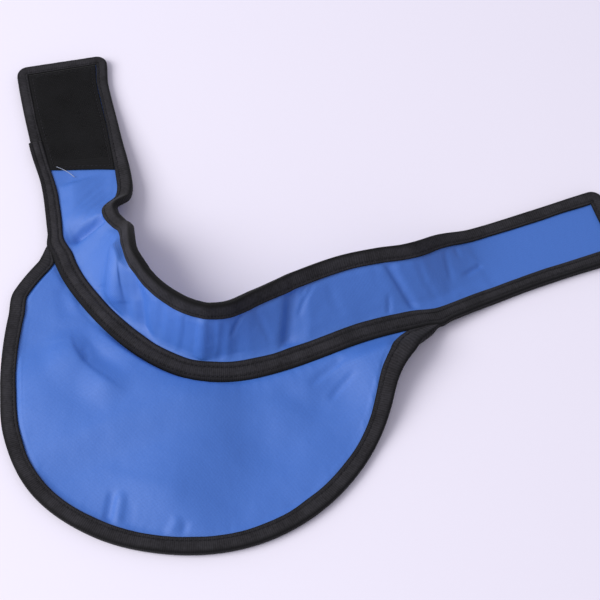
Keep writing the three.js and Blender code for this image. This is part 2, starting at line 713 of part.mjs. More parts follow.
const collar = new THREE.Group();
collar.name = 'thyroid_shield_collar';
collar.add(
  piece('collar_panel', collarPanel(), 0x4470b8, 0.55),
  piece('collar_binding', collarBinding(), 0x28272e, 0.8),
  piece('neck_seam_tape', seamTape(), 0x2a2930, 0.8),
  piece('bib_panel', bibPanel(), 0x4a74c4, 0.55),
  piece('bib_binding', bibBinding(), 0x28272e, 0.8),
  piece('hook_patch', hookPatch(), 0x17161b, 0.95),
  piece('loop_patch', loopPatch(), 0x1c1b21, 0.95),
);

// Stand the collar on the table with its middle over the origin
const box = new THREE.Box3().setFromObject(collar);
const centre = box.getCenter(new THREE.Vector3());
collar.position.set(-centre.x, -centre.y, -box.min.z);
collar.updateMatrixWorld(true);

export default collar;
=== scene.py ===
"""A thyroid shield collar with a bib, opened out and lying face up on a pale table.

Lengths are millimetres in the draft that the shape functions share, and metres in the meshes.
The draft starts at the tab's end of the collar's lower edge, and place() moves it to the frame.
s runs along the collar's lower edge, w runs up across the band from that edge, and u runs
along the bib's hem from the left junction to the right one.
"""

import math

import bpy
import numpy as np
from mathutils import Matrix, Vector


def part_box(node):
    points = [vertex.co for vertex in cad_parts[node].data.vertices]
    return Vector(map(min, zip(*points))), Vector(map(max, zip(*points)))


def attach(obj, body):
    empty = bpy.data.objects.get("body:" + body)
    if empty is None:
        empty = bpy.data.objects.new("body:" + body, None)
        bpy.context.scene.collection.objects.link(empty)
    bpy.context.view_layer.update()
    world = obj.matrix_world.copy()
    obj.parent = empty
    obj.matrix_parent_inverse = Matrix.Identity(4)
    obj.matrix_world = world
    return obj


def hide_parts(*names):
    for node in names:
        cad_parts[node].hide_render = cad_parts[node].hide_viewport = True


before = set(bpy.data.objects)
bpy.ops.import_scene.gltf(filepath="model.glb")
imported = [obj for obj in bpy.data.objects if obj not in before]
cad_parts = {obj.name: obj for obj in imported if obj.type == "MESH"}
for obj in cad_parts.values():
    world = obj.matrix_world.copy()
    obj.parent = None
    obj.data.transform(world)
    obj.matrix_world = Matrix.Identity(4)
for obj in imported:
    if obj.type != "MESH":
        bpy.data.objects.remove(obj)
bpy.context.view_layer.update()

MM = 0.001

# Sizes of the real collar, as its solids have them
COLLAR_LENGTH = 616
BAND_WIDTH = 58.5
PANEL_THICKNESS = 4
EDGE_THICKNESS = 3
CORNER_RADIUS = 8
BIB_RADIUS = 129
TAPE_THICKNESS = 1
BINDING_WIDTH = 10.5
SEAM_TAPE_WIDTH = 13.5
SEAM_WEB = 1
CLEARANCE = 0.3
PATCH_LENGTH = 86
PATCH_SLANT = 13
HOOK_THICKNESS = 1.4
STEP_LENGTH = 10
LEFT_JUNCTION = 0.242
RIGHT_JUNCTION = 0.774
TAPE_START = 0.111

# The collar as it lies. At each share of its length: the lower edge's heading and the leans of
# the seam strip and of the band in degrees, the edge's lift as a share of the band's width, and
# the shares of the named widths that the band and the tape have there. Near the kink, at .236,
# the band leans a little less than its solid does, and its width varies more.
STATIONS = {
    "along": [0, .05, .10, .15, .19, .21, .236, .27, .31, .35, .39, .43,
              .465, .50, .54, .58, .64, .68, .72, .76, .80, .85, .92, 1],
    "heading": [-79, -76.5, -74.8, -73.5, -79, -80.5, -79, -70, -57, -50.5, -44, -35,
                -25, -9, 6, 15.5, 22, 20, 15.5, 20, 27, 24, 20, 18.4],
    "lift": [0, 0, 0, 0, 0, 0, 0, 0, .01, .03, .04, .04,
             .04, .04, .04, .06, .09, .11, .11, .08, .04, 0, 0, 0],
    "seam": [0, 0, 0, 0, 2, 4, 6, 8, 10, 12, 14, 15,
             15, 15, 15, 12, 10, 8, 6, 4, 2, 0, 0, 0],
    "band": [0, 0, 2, 6, 9, 13, 33, 30, 40, 56, 61, 63,
             64, 64, 60, 46, 36, 33, 33, 34, 24, 4, 0, 0],
    "width": [1.12, 1.08, 1.08, 1.07, 1.07, 1.03, .93, 1.00, 1.09, 1.07, 1.02, 1,
              1, 1, 1, 1.01, 1.04, 1.04, 1.02, 1, 1, .97, .96, .98],
    "tape": [.75, .75, .75, .85, 1, 1, 1, 1, 1, 1, 1, 1,
             1, 1, 1, 1, 1, 1, 1, 1, 1, .95, .95, .95],
}

# Folds across the band: along, slant, spread and depth, as shares of the named sizes. The last
# three are shallower than the solid's, because the creases further down add to them.
BAND_FOLDS = [
    (.250, -.27, .07, -.045),
    (.360, -.90, .09, .032),
    (.405, -.72, .09, -.032),
    (.502, 0, .08, .030),
    (.545, .12, .10, -.020),
    (.612, .40, .07, -.040),
    (.738, -.35, .07, -.012),
    (.804, .28, .07, -.008),
]

# The bib's hem about the middle of its round edge: bearings in degrees, and at each the shares
# of the bib's radius and of the tape's width
HEM = {
    "bearing": [210.4, 203, 192, 184, 172, 160, 145, 125,
                105, 80, 50, 10, -3, -10, -16, -24],
    "reach": [1.118, 1.060, 1.062, 1.020, .986, .977, 1, 1.022,
              1.005, .986, .993, .998, .996, 1.018, 1.090, 1.252],
    "tape": [1, 1, 1, 1, 1, 1, 1, 1,
             1, 1, 1, 1, 1.05, 1.20, 1.35, 1.40],
}
HEM_MIDDLE_ALONG = 0.4475
HEM_MIDDLE_DROP = 0.569
TIP_BLEND = 0.25

# Swells and dents of the bib: across the line between the junctions, down, spread and rise
BIB_SWELLS = [
    (.94, .34, .25, .072),
    (.21, .63, .11, -.020),
    (.80, .50, .10, -.016),
]

# Sizes that follow
FLANGE_INSIDE = EDGE_THICKNESS / 2 + CLEARANCE
FLANGE_OUTSIDE = FLANGE_INSIDE + TAPE_THICKNESS
PANEL_INSET = TAPE_THICKNESS + CLEARANCE
BEND_LENGTH = SEAM_TAPE_WIDTH / 2
SWELL_LENGTH = BINDING_WIDTH / 2
SEAM_RUNOUT = SEAM_TAPE_WIDTH * 1.7
SEAM_MARGIN = (SEAM_TAPE_WIDTH - SEAM_WEB) / 2
# The upper binding is drawn straight over this share of each fold, from so many tape widths
# below the band's upper edge and over so many
STRAIGHT_SHARE = 0.75
STRAIGHT_FROM = 2.2
STRAIGHT_RUN = 1.6
NECK_START = LEFT_JUNCTION * COLLAR_LENGTH
NECK_END = RIGHT_JUNCTION * COLLAR_LENGTH
SEAM_TAPE_START = TAPE_START * COLLAR_LENGTH
SEAM_TAPE_END = COLLAR_LENGTH - BINDING_WIDTH - STEP_LENGTH / 4


def smooth(share):
    """An S curve from 0 to 1: three times the square less twice the cube."""
    t = np.clip(share, 0, 1)
    return t * t * (3 - 2 * t)


def bump(spreads):
    """A fold's form: 1 in its middle, half at one spread and nothing at two."""
    return smooth(1 - np.abs(spreads) / 2)


def column_curve(table, place, column):
    """A cubic through one column of a table, level where it turns or stays and past its ends."""
    at = np.array(table[place], float)
    value = np.array(table[column], float)
    if at[-1] < at[0]:
        at, value = at[::-1], value[::-1]
    rise = np.diff(value)
    slope = np.zeros(len(at))
    goes_on = rise[:-1] * rise[1:] > 0
    slope[1:-1] = np.where(goes_on, (value[2:] - value[:-2]) / (at[2:] - at[:-2]), 0)

    def curve(wanted):
        """The cubic of the stretch that each wanted place lies in."""
        i = np.clip(np.searchsorted(at, wanted, side="right") - 1, 0, len(at) - 2)
        span = at[i + 1] - at[i]
        t = np.clip((wanted - at[i]) / span, 0, 1)
        t2, t3 = t * t, t * t * t
        start = (2 * t3 - 3 * t2 + 1) * value[i] + (t3 - 2 * t2 + t) * span * slope[i]
        end = (3 * t2 - 2 * t3) * value[i + 1] + (t3 - t2) * span * slope[i + 1]
        return start + end

    return curve


heading_at = column_curve(STATIONS, "along", "heading")
lift_at = column_curve(STATIONS, "along", "lift")
seam_lean_at = column_curve(STATIONS, "along", "seam")
band_lean_at = column_curve(STATIONS, "along", "band")
width_share_at = column_curve(STATIONS, "along", "width")
tape_share_at = column_curve(STATIONS, "along", "tape")
hem_reach_at = column_curve(HEM, "bearing", "reach")
hem_tape_at = column_curve(HEM, "bearing", "tape")


def band_width(s):
    """The band's whole width: the named width times its share at s."""
    return BAND_WIDTH * width_share_at(s / COLLAR_LENGTH)


def binding_width(s):
    """How far the binding reaches in: the named width times its share at s."""
    return BINDING_WIDTH * tape_share_at(s / COLLAR_LENGTH)


# The collar's lower edge in plan: its heading, followed in short equal steps
EDGE_STEPS = 616
EDGE_STEP = COLLAR_LENGTH / EDGE_STEPS
edge_headings = np.radians(heading_at((np.arange(EDGE_STEPS) + 0.5) / EDGE_STEPS))
edge_runs = EDGE_STEP * np.stack([np.cos(edge_headings), np.sin(edge_headings)], axis=1)
lower_edge = np.vstack([np.zeros((1, 2)), np.cumsum(edge_runs, axis=0)])


def lower_edge_at(s):
    """A point of the lower edge in plan, on the straight line between its two nearest steps."""
    steps = np.arange(EDGE_STEPS + 1) * EDGE_STEP
    return np.stack([np.interp(s, steps, lower_edge[:, k]) for k in range(2)], axis=-1)


def fold_height(s, w):
    """The sum of the band's folds, each a bump across its slanted line. They fade at the seam
    and, for the most part, under the upper binding."""
    fade = smooth((w - SEAM_TAPE_WIDTH) / BEND_LENGTH)
    below_edge = (band_width(s) - w) / BINDING_WIDTH
    drawn_straight = smooth((STRAIGHT_FROM - below_edge) / STRAIGHT_RUN)
    total = np.zeros(np.broadcast(s, w).shape)
    for along, slant, spread, depth in BAND_FOLDS:
        middle = along * COLLAR_LENGTH + slant * (w - band_width(s) / 2)
        total = total + depth * BAND_WIDTH * bump((s - middle) / (spread * BAND_WIDTH))
    return fade * total * (1 - STRAIGHT_SHARE * drawn_straight)


def edge_height(s):
    """The middle sheet's height at the lower edge: the tape's, and the edge's lift."""
    return FLANGE_OUTSIDE + lift_at(s / COLLAR_LENGTH) * BAND_WIDTH


def band_sheet(s, w):
    """The band's middle sheet: a straight strip under the seam tape, an arc, a straight band."""
    along = s / COLLAR_LENGTH
    heading = np.radians(heading_at(along))
    seam_lean = np.radians(seam_lean_at(along))
    band_lean = np.radians(band_lean_at(along))
    strip = np.minimum(w, SEAM_TAPE_WIDTH)
    bend = np.clip(w - SEAM_TAPE_WIDTH, 0, BEND_LENGTH)
    rest = np.maximum(w - SEAM_TAPE_WIDTH - BEND_LENGTH, 0)
    half = (band_lean - seam_lean) * bend / BEND_LENGTH / 2
    chord = bend * np.sinc(half / np.pi)
    reach = strip * np.cos(seam_lean) + chord * np.cos(seam_lean + half) + rest * np.cos(band_lean)
    rise = strip * np.sin(seam_lean) + chord * np.sin(seam_lean + half) + rest * np.sin(band_lean)
    foot = lower_edge_at(s)
    fold = fold_height(s, w)
    inward = reach - fold * np.sin(band_lean)
    return np.stack([
        foot[..., 0] - np.sin(heading) * inward,
        foot[..., 1] + np.cos(heading) * inward,
        edge_height(s) + rise + fold * np.cos(band_lean),
    ], axis=-1)


def off_sheet(sheet, u, v, distance):
    """Points off a sheet by a distance along its normal, never below the table. The normal is
    the cross product of two short steps, half a millimetre either way."""
    reach = 0.5
    along_u = sheet(u + reach, v) - sheet(u - reach, v)
    along_v = sheet(u, v + reach) - sheet(u, v - reach)
    normal = np.cross(along_u, along_v)
    normal = normal / np.linalg.norm(normal, axis=-1, keepdims=True)
    points = sheet(u, v) + normal * np.asarray(distance)[..., None]
    points[..., 2] = np.maximum(points[..., 2], 0)
    return points


def on_band(s, w, distance):
    """Points off the band's sheet at s and w."""
    s, w, distance = np.broadcast_arrays(s, w, distance)
    return off_sheet(band_sheet, s.astype(float), w.astype(float), distance)


# The bib's hem: a round edge about a middle point, drawn over to the junctions at its ends
left_junction = lower_edge_at(NECK_START)
right_junction = lower_edge_at(NECK_END)
junction_line = right_junction - left_junction
JUNCTION_SPAN = float(np.linalg.norm(junction_line))
across_bib = junction_line / JUNCTION_SPAN
down_bib = np.array([across_bib[1], -across_bib[0]])
hem_middle = left_junction + junction_line * HEM_MIDDLE_ALONG + down_bib * HEM_MIDDLE_DROP * BIB_RADIUS
HEM_FIRST, HEM_LAST = HEM["bearing"][0], HEM["bearing"][-1]
HEM_LENGTH = BIB_RADIUS * math.radians(HEM_FIRST - HEM_LAST)


def hem_bearing(u):
    """The bearing from the hem's middle, in even steps from its first to its last."""
    return HEM_FIRST + (HEM_LAST - HEM_FIRST) * u


def hem_tape_width(u):
    """How far the hem's binding reaches in: the named width times its share at u."""
    return BINDING_WIDTH * hem_tape_at(hem_bearing(u))


def round_edge(u):
    """The hem before it is drawn over: a reach from the middle for each bearing."""
    bearing = hem_bearing(np.asarray(u, float))
    reach = BIB_RADIUS * hem_reach_at(bearing)
    turn = np.radians(bearing)
    return (hem_middle + (reach * np.cos(turn))[..., None] * across_bib
            + (reach * np.sin(turn))[..., None] * down_bib)


def hem_at(u):
    """The round edge, moved by an S curve at each end so that it meets the junctions."""
    left = (1 - smooth(u / TIP_BLEND))[..., None] * (left_junction - round_edge(0.0))
    right = smooth((u - 1 + TIP_BLEND) / TIP_BLEND)[..., None] * (right_junction - round_edge(1.0))
    return round_edge(u) + left + right


def hem_inset(u, inset):
    """A point inside the hem by an inset square to it, in plan."""
    fine = 0.5 / HEM_LENGTH
    along = hem_at(u + fine) - hem_at(u - fine)
    along = along / np.linalg.norm(along, axis=-1, keepdims=True)
    square = np.stack([-along[..., 1], along[..., 0]], axis=-1)
    return hem_at(u) + square * np.asarray(inset)[..., None]


# How many points are measured against the lower edge at once, to spare memory
BATCH = 4000


def nearest_on_edge(points):
    """For plan points, the nearest s on the lower edge and how far outside it they lie: the
    shortest of the ways square to each of its steps."""
    flat = points.reshape(-1, 2)
    step = np.diff(lower_edge, axis=0)
    s_out = np.empty((len(flat), 2))
    for start in range(0, len(flat), BATCH):
        away = flat[start:start + BATCH, None] - lower_edge[None, :-1]
        share = np.clip((away * step).sum(-1) / (step * step).sum(-1), 0, 1)
        miss = away - share[..., None] * step
        distance = np.hypot(miss[..., 0], miss[..., 1])
        best = distance.argmin(axis=1)
        rows = np.arange(len(best))
        run, gap = step[best], away[rows, best]
        side = np.sign(run[:, 1] * gap[:, 0] - run[:, 0] * gap[:, 1])
        s_out[start:start + BATCH, 0] = (best + share[rows, best]) * EDGE_STEP
        s_out[start:start + BATCH, 1] = distance[rows, best] * side
    return s_out[:, 0].reshape(points.shape[:-1]), s_out[:, 1].reshape(points.shape[:-1])


def bib_height(points):
    """The bib's middle sheet over plan points.

    In the seam tape it goes on in the tape's strip. Outside, it sinks to the table over a
    short run, is pressed to the binding's height at the hem, and swells and dents.
    """
    s, out = nearest_on_edge(points)
    in_strip = edge_height(s) - out * np.tan(np.radians(seam_lean_at(s / COLLAR_LENGTH)))
    away = points - hem_middle
    turned = np.degrees(np.arctan2(away @ down_bib, away @ across_bib))
    bearing = np.where(turned < HEM_LAST, turned + 360, turned)
    u = np.clip((bearing - HEM_FIRST) / (HEM_LAST - HEM_FIRST), 0, 1)
    inside = np.linalg.norm(hem_at(u) - hem_middle, axis=-1) - np.linalg.norm(away, axis=-1)
    from_tape = smooth((inside - hem_tape_width(u)) / SWELL_LENGTH)
    lying = FLANGE_OUTSIDE + (PANEL_THICKNESS / 2 - FLANGE_OUTSIDE) * from_tape
    from_left = points - left_junction
    swell = np.zeros(out.shape)
    for across, down, spread, rise in BIB_SWELLS:
        gap = np.hypot(from_left @ across_bib - across * JUNCTION_SPAN,
                       from_left @ down_bib - down * BIB_RADIUS)
        swell = swell + rise * BIB_RADIUS * bump(gap / (spread * BIB_RADIUS))
    beyond = lying + (edge_height(s) - lying) * bump(out / SEAM_RUNOUT)
    beyond = beyond + swell * smooth(out / SEAM_TAPE_WIDTH)
    return np.where(out < 0, in_strip, beyond)


def bib_sheet(x, y):
    """The bib's middle sheet: its height over each plan point."""
    return np.stack([x, y, bib_height(np.stack([x, y], axis=-1))], axis=-1)


def on_bib(points, distance):
    """Points off the bib's sheet over plan points."""
    return off_sheet(bib_sheet, points[..., 0], points[..., 1], distance)


# Where the bib's panel starts and ends along the hem, in narrow tips between the tapes
TIP_WIDTH = 0.6
HEM_PLACES = 1401
hem_shares = np.linspace(0, 1, HEM_PLACES)
_, hem_gap = nearest_on_edge(hem_inset(hem_shares, hem_tape_width(hem_shares)))
panel_shares = hem_shares[hem_gap >= TIP_WIDTH]
PANEL_START, PANEL_END = panel_shares[0], panel_shares[-1]
joined_feet, _ = nearest_on_edge(hem_inset(np.array([PANEL_START, PANEL_END]), BINDING_WIDTH))
JOINED_FROM, JOINED_TO = joined_feet[0], joined_feet[1]


def joined(s):
    """How far the bib has joined the seam tape: none outside the junctions, all within."""
    left = smooth((s - NECK_START) / (JOINED_FROM - NECK_START))
    right = smooth((NECK_END - s) / (NECK_END - JOINED_TO))
    return left * right


def seam_tape_width(s):
    """The seam tape's reach: the binding's where the bib isn't joined, its own where it is."""
    return binding_width(s) + (SEAM_TAPE_WIDTH - binding_width(s)) * joined(s)


def panel_foot(s):
    """Where the band's panel starts in the tape: inside its fold, or past the seam's web."""
    return PANEL_INSET + joined(s) * (SEAM_MARGIN + SEAM_WEB - TAPE_THICKNESS)


# About how wide the hook patch is, and where the patches sewn on the tab and the strap end
PATCH_WIDTH = 40
TAB_PATCH_END = binding_width(0) + PATCH_LENGTH + PATCH_SLANT
STRAP_PATCH_END = COLLAR_LENGTH - binding_width(COLLAR_LENGTH) - PATCH_LENGTH


def half_thickness(in_from_tape):
    """Half the panel's thickness: pressed thin under the tape, full a little way in."""
    full = smooth(in_from_tape / SWELL_LENGTH)
    return (EDGE_THICKNESS + (PANEL_THICKNESS - EDGE_THICKNESS) * full) / 2


def on_hook_patch(share, rise, distance):
    """The tab's patch: share runs from the tab's end, rise up between the two bindings."""
    s = binding_width(0) + CLEARANCE + share * (PATCH_LENGTH + PATCH_SLANT * rise)
    low = binding_width(s) + CLEARANCE
    high = band_width(s) - binding_width(s) - CLEARANCE
    return on_band(s, low + (high - low) * rise, distance)


# The draft is moved so that the corners of its hook patch lie where the solid's are
corner_shares, corner_rises = np.meshgrid([0.0, 1.0], [0.0, 1.0])
patch_corners = np.stack([
    on_hook_patch(corner_shares, corner_rises, FLANGE_INSIDE + off)
    for off in (0, HOOK_THICKNESS)
])
solid_corner = np.array(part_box("hook_patch")[0]) / MM
DRAFT_SHIFT = solid_corner - patch_corners.reshape(-1, 3).min(axis=0)
DRAFT_SHIFT[2] = 0


def place(points):
    """From the draft's millimetres to the frame's metres."""
    return (points + DRAFT_SHIFT) * MM


# The share of a crease over which it rises at each of its ends
CREASE_FADE = 0.28

# Creases that the cloth has of its own: a line in millimetres, how wide it spreads before it and
# after it, and its height, a valley where it is negative. On the band a line holds s and w, and
# after one that runs down from the upper binding is further along the collar.
BAND_CREASES = [
    ([(84, 25), (125, 22), (158, 18)], 6.5, 12.0, 2.4),
    ([(108, 52), (112, 35), (120, 24)], 1.4, 1.4, -0.30),
    ([(111, 52), (119, 36), (129, 25), (135, 17)], 1.5, 1.5, -0.40),
    ([(116, 52), (124, 38), (134, 27), (141, 17)], 1.4, 1.4, -0.35),
    ([(120, 53), (130, 40), (142, 30), (149, 15)], 1.5, 1.5, -0.40),
    ([(128, 53), (137, 41), (146, 31), (152, 18)], 1.3, 1.3, -0.30),
    ([(136, 53), (143, 43), (149, 33)], 1.2, 1.2, -0.25),
    ([(146, 58), (152, 41), (154, 30), (155, 20), (158, 8)], 11.0, 3.0, -3.4),
    ([(204, 13), (209, 20), (214, 27)], 1.2, 1.2, -1.0),
    ([(192, 60), (204, 50), (212, 46), (219, 35), (225, 22), (232, 13)], 9.0, 9.5, 5.4),
    ([(214, 58), (235, 43), (247, 38), (252, 19), (254, 8)], 5.0, 5.0, -1.2),
    ([(262, 54), (268, 36), (270, 16)], 3.0, 3.0, -0.6),
    ([(284, 54), (286, 34), (286, 12)], 3.5, 2.0, 0.6),
    ([(308, 58), (308, 34), (307, 6)], 6.0, 2.2, 0.9),
    ([(328, 52), (324, 28), (321, 8)], 2.6, 2.6, -0.9),
    ([(346, 52), (335, 39), (330, 30)], 1.5, 1.5, -1.0),
    ([(352, 54), (358, 34), (362, 18)], 2.2, 2.2, -0.5),
    ([(391, 60), (384, 31), (371, 8)], 8.0, 5.0, -2.4),
    ([(402, 50), (391, 39), (384, 30)], 1.2, 1.2, -1.0),
    ([(399, 54), (391, 43)], 1.2, 1.2, -0.9),
    ([(412, 52), (410, 34), (414, 18)], 2.6, 2.6, -0.4),
    ([(443, 60), (453, 33), (460, 13), (462, 5)], 1.7, 3.2, -1.3),
    ([(445, 30), (440, 6)], 1.2, 1.2, -1.0),
    ([(472, 50), (474, 30), (480, 14)], 2.4, 2.4, -0.4),
    ([(503, 56), (497, 38), (494, 22)], 1.4, 1.9, -0.8),
    ([(509, 56), (507, 37)], 1.2, 1.2, -0.9),
    ([(502, 25), (517, 28), (532, 29)], 1.3, 1.6, -1.3),
    ([(541, 30), (552, 26), (566, 20)], 2.0, 2.0, -0.4),
    ([(558, 46), (580, 34), (598, 25)], 2.2, 2.2, -0.45),
]

# On the bib a line holds millimetres across from the left junction and down from it, and after
# one that runs down is further left. The crescent is a soft step with a crisp one on its edge.
CRESCENT = [(35, 62), (38, 72), (44, 81), (51, 88), (60, 93), (72, 98), (90, 104)]
BIB_CREASES = [
    ([(24, 70), (60, 118), (85, 155)], 58.0, 30.0, 6.0),
    (CRESCENT, 7.5, 12.0, 2.8),
    (CRESCENT, 1.8, 9.0, 0.9),
    ([(48, 75), (57, 87)], 2.4, 2.4, -0.5),
    ([(97, 166), (98, 178), (99, 192)], 2.4, 2.4, -1.2),
    ([(103, 166), (104, 178), (106, 192)], 2.6, 2.6, 1.2),
    ([(110, 170), (112, 180), (113, 192)], 2.6, 2.6, -0.4),
    ([(128, 60), (132, 120), (128, 195)], 26.0, 40.0, 6.5),
    ([(142, 174), (139, 192)], 2.4, 2.4, 0.9),
    ([(148, 176), (147, 192)], 2.0, 2.0, -0.8),
    ([(219, 43), (208, 56), (198, 68)], 1.8, 2.4, -0.9),
    ([(228, 50), (220, 62), (213, 76)], 1.8, 2.4, -0.8),
    ([(176, 74), (198, 79), (218, 82)], 6.0, 6.0, -1.0),
    ([(18, 30), (26, 46), (34, 60)], 4.0, 4.0, -0.6),
    ([(150, 100), (180, 112), (215, 116)], 12.0, 12.0, -0.8),
]


def crease_height(p, q, rows):
    """The sum of creases: across each a bump with a width for each side, along it a slow rise
    from one end and a fall to the other. The nearest of its straight stretches counts."""
    total = np.zeros(np.broadcast(p, q).shape)
    for line, before, after, height in rows:
        line = np.array(line, float)
        step = np.diff(line, axis=0)
        length = np.hypot(step[:, 0], step[:, 1])
        start = np.concatenate([[0], np.cumsum(length)])
        nearest = np.full(total.shape, np.inf)
        beside = np.zeros(total.shape)
        along = np.zeros(total.shape)
        for (p0, q0), (dp, dq), run, begin in zip(line, step, length, start):
            share = np.clip(((p - p0) * dp + (q - q0) * dq) / run ** 2, 0, 1)
            gap = np.hypot(p - p0 - share * dp, q - q0 - share * dq)
            side = np.sign((q - q0) * dp - (p - p0) * dq)
            closer = gap < nearest
            nearest = np.where(closer, gap, nearest)
            beside = np.where(closer, gap * side, beside)
            along = np.where(closer, begin + share * run, along)
        fade = start[-1] * CREASE_FADE
        ends = smooth(along / fade) * smooth((start[-1] - along) / fade)
        total = total + height * bump(beside / np.where(beside < 0, before, after)) * ends
    return total


def lattice_noise(p, q, size, seed):
    """Smooth noise: random heights on a lattice of one size, joined by S curves, from -1 to 1."""
    lattice = np.random.default_rng(seed).uniform(-1, 1, (64, 64))
    x, y = np.asarray(p) / size, np.asarray(q) / size
    i, j = np.floor(x).astype(int), np.floor(y).astype(int)
    fx, fy = smooth(x - i), smooth(y - j)
    a, b = lattice[i % 64, j % 64], lattice[(i + 1) % 64, j % 64]
    c, d = lattice[i % 64, (j + 1) % 64], lattice[(i + 1) % 64, (j + 1) % 64]
    low, high = a + (b - a) * fx, c + (d - c) * fx
    return low + (high - low) * fy


# Gathers that a row of stitches pulls: the sizes of their two noises, the second one's share,
# their height and how soon they fade away from the row
GATHER_SIZES = (3.6, 7.0)
GATHER_SHARE = 0.6
GATHER_HEIGHT = 0.28
GATHER_FADE = 5


def pucker(run, from_seam, seed):
    """Small gathers along a row of stitches: two noises along it, fading by an exponential."""
    fine, slow = (lattice_noise(run, from_seam * 0, size, seed + k)
                  for k, size in enumerate(GATHER_SIZES))
    fade = np.exp(-np.maximum(from_seam, 0) / GATHER_FADE)
    return GATHER_HEIGHT * (fine + GATHER_SHARE * slow) * fade


def new_piece(name, points, loops, loop_starts, uv, material, nodes, unshaded=None):
    """A mesh from whole arrays, riding on the one body and standing for its solids.

    The last argument says how free of painted shade each point is; where the material asks for it, the rest
    is painted dark as shade.
    """
    mesh = bpy.data.meshes.new(name)
    mesh.vertices.add(len(points))
    mesh.vertices.foreach_set("co", np.ascontiguousarray(points, dtype=np.float32).ravel())
    mesh.loops.add(len(loops))
    mesh.loops.foreach_set("vertex_index", loops.astype(np.int32))
    mesh.polygons.add(len(loop_starts))
    mesh.polygons.foreach_set("loop_start", loop_starts.astype(np.int32))
    mesh.polygons.foreach_set("use_smooth", np.ones(len(loop_starts), bool))
    layer = mesh.uv_layers.new(name="cloth")
    layer.data.foreach_set("uv", uv.astype(np.float32).ravel())
    if unshaded is not None:
        mesh.attributes.new("unshaded", "FLOAT", "POINT").data.foreach_set("value", unshaded.astype(np.float32))
    mesh.update(calc_edges=True)
    mesh.validate()
    piece = bpy.data.objects.new(name, mesh)
    bpy.context.scene.collection.objects.link(piece)
    mesh.materials.append(material)
    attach(piece, "root")
    if nodes:
        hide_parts(*nodes)
    return piece


def ring_quads(count, size):
    """The faces between rings of points: along one ring's stretch and back on the next's."""
    ring, spot = np.meshgrid(np.arange(count - 1), np.arange(size), indexing="ij")
    beside = (spot + 1) % size
    corners = [(ring, spot), (ring, beside), (ring + 1, beside), (ring + 1, spot)]
    return np.stack([r * size + k for r, k in corners], axis=-1).reshape(-1, 4)


def repeated(faces, copies, size):
    """The faces of a small shape, once for each of its copies, whose points follow on."""
    return (faces[None] + np.arange(copies)[:, None, None] * size).reshape(-1, faces.shape[1])


def lofted(name, rings, along, around, material, nodes=(), unshaded=None, cloth=None):
    """A closed loft: rings of points, each closed on itself, with a flat cap at both ends.

    along says where each ring is and around where each point of a ring is, with one more
    for the way back to the first, in millimetres of cloth. cloth gives each point its own
    place on the cloth instead, and the argument before it says how free of painted shade each
    point of a ring is. The faces are turned outward.
    """
    count, size = rings.shape[:2]
    quads = ring_quads(count, size)
    ring, spot = np.divmod(quads, size)
    spot[:, 1:3] = spot[:, :1] + 1
    uv = np.stack([np.asarray(along)[ring], np.asarray(around)[spot]], axis=-1).reshape(-1, 2)
    first_cap = np.arange(size)[::-1]
    last_cap = np.arange(size) + (count - 1) * size
    loops = np.concatenate([quads.ravel(), first_cap, last_cap])
    starts = np.concatenate([np.arange(len(quads)) * 4, len(quads) * 4 + np.array([0, size])])
    cap_uv = np.stack([np.zeros(size), np.asarray(around)[:size]], axis=-1)
    uv = np.concatenate([uv, cap_uv[::-1], cap_uv]) * MM
    if cloth is not None:
        uv = cloth.reshape(-1, 2)[loops] * MM
    if unshaded is not None:
        unshaded = np.tile(unshaded, count)
    points = rings.reshape(-1, 3)
    a, b, c, d = (points[quads[:, k]] for k in range(4))
    volume = (np.einsum("ij,ij->i", a, np.cross(b, c)) + np.einsum("ij,ij->i", a, np.cross(c, d))).sum()
    if volume < 0:
        order = np.arange(len(loops))
        order[:quads.size] = order[:quads.size].reshape(-1, 4)[:, ::-1].ravel()
        order[quads.size:] = order[quads.size:].reshape(2, size)[:, ::-1].ravel()
        loops, uv = loops[order], uv[order]
    return new_piece(name, place(points), loops, starts, uv, material, nodes, unshaded)


def slab(name, top, bottom, along, across, material, nodes, cloth=None):
    """A padded panel: rings that go up its top points and back down its bottom ones."""
    rings = np.concatenate([top, bottom[:, ::-1]], axis=1)
    around = np.concatenate([across, across[::-1], across[:1]])
    if cloth is not None:
        cloth = np.concatenate([cloth, cloth[:, ::-1]], axis=1)
    return lofted(name, rings, along, around, material, nodes, cloth=cloth)


# Materials


def linear(hex_colour):
    """An sRGB hex colour as the linear values that a shader takes."""
    parts = np.array([int(hex_colour[i:i + 2], 16) for i in (1, 3, 5)]) / 255
    values = np.where(parts <= 0.04045, parts / 12.92, ((parts + 0.055) / 1.055) ** 2.4)
    return (*values.tolist(), 1.0)


def add(tree, kind, inputs=None, **settings):
    """Adds a node with its settings; inputs gives a socket its value or the socket to link."""
    made = tree.nodes.new(kind)
    for key, value in settings.items():
        setattr(made, key, value)
    for key, value in (inputs or {}).items():
        if isinstance(value, bpy.types.NodeSocket):
            tree.links.new(value, made.inputs[key])
        else:
            made.inputs[key].default_value = value
    return made


def new_material(name):
    """An empty material with its node tree and its shader."""
    material = bpy.data.materials.new(name)
    material.use_nodes = True
    tree = material.node_tree
    return material, tree, tree.nodes["Principled BSDF"]


def shade(tree, height, low, high, from_low, from_high):
    """A colour between two hex colours, as a height goes between two values."""
    share = add(tree, "ShaderNodeMapRange", {"Value": height, "From Min": from_low, "From Max": from_high})
    mix = add(tree, "ShaderNodeMix", {"Factor": share.outputs["Result"]}, data_type="RGBA")
    mix.inputs[6].default_value = linear(low)
    mix.inputs[7].default_value = linear(high)
    return mix.outputs[2]


def wave_scale(period):
    """The wave texture's scale for waves one period apart."""
    return 2 * math.pi / (20 * period)


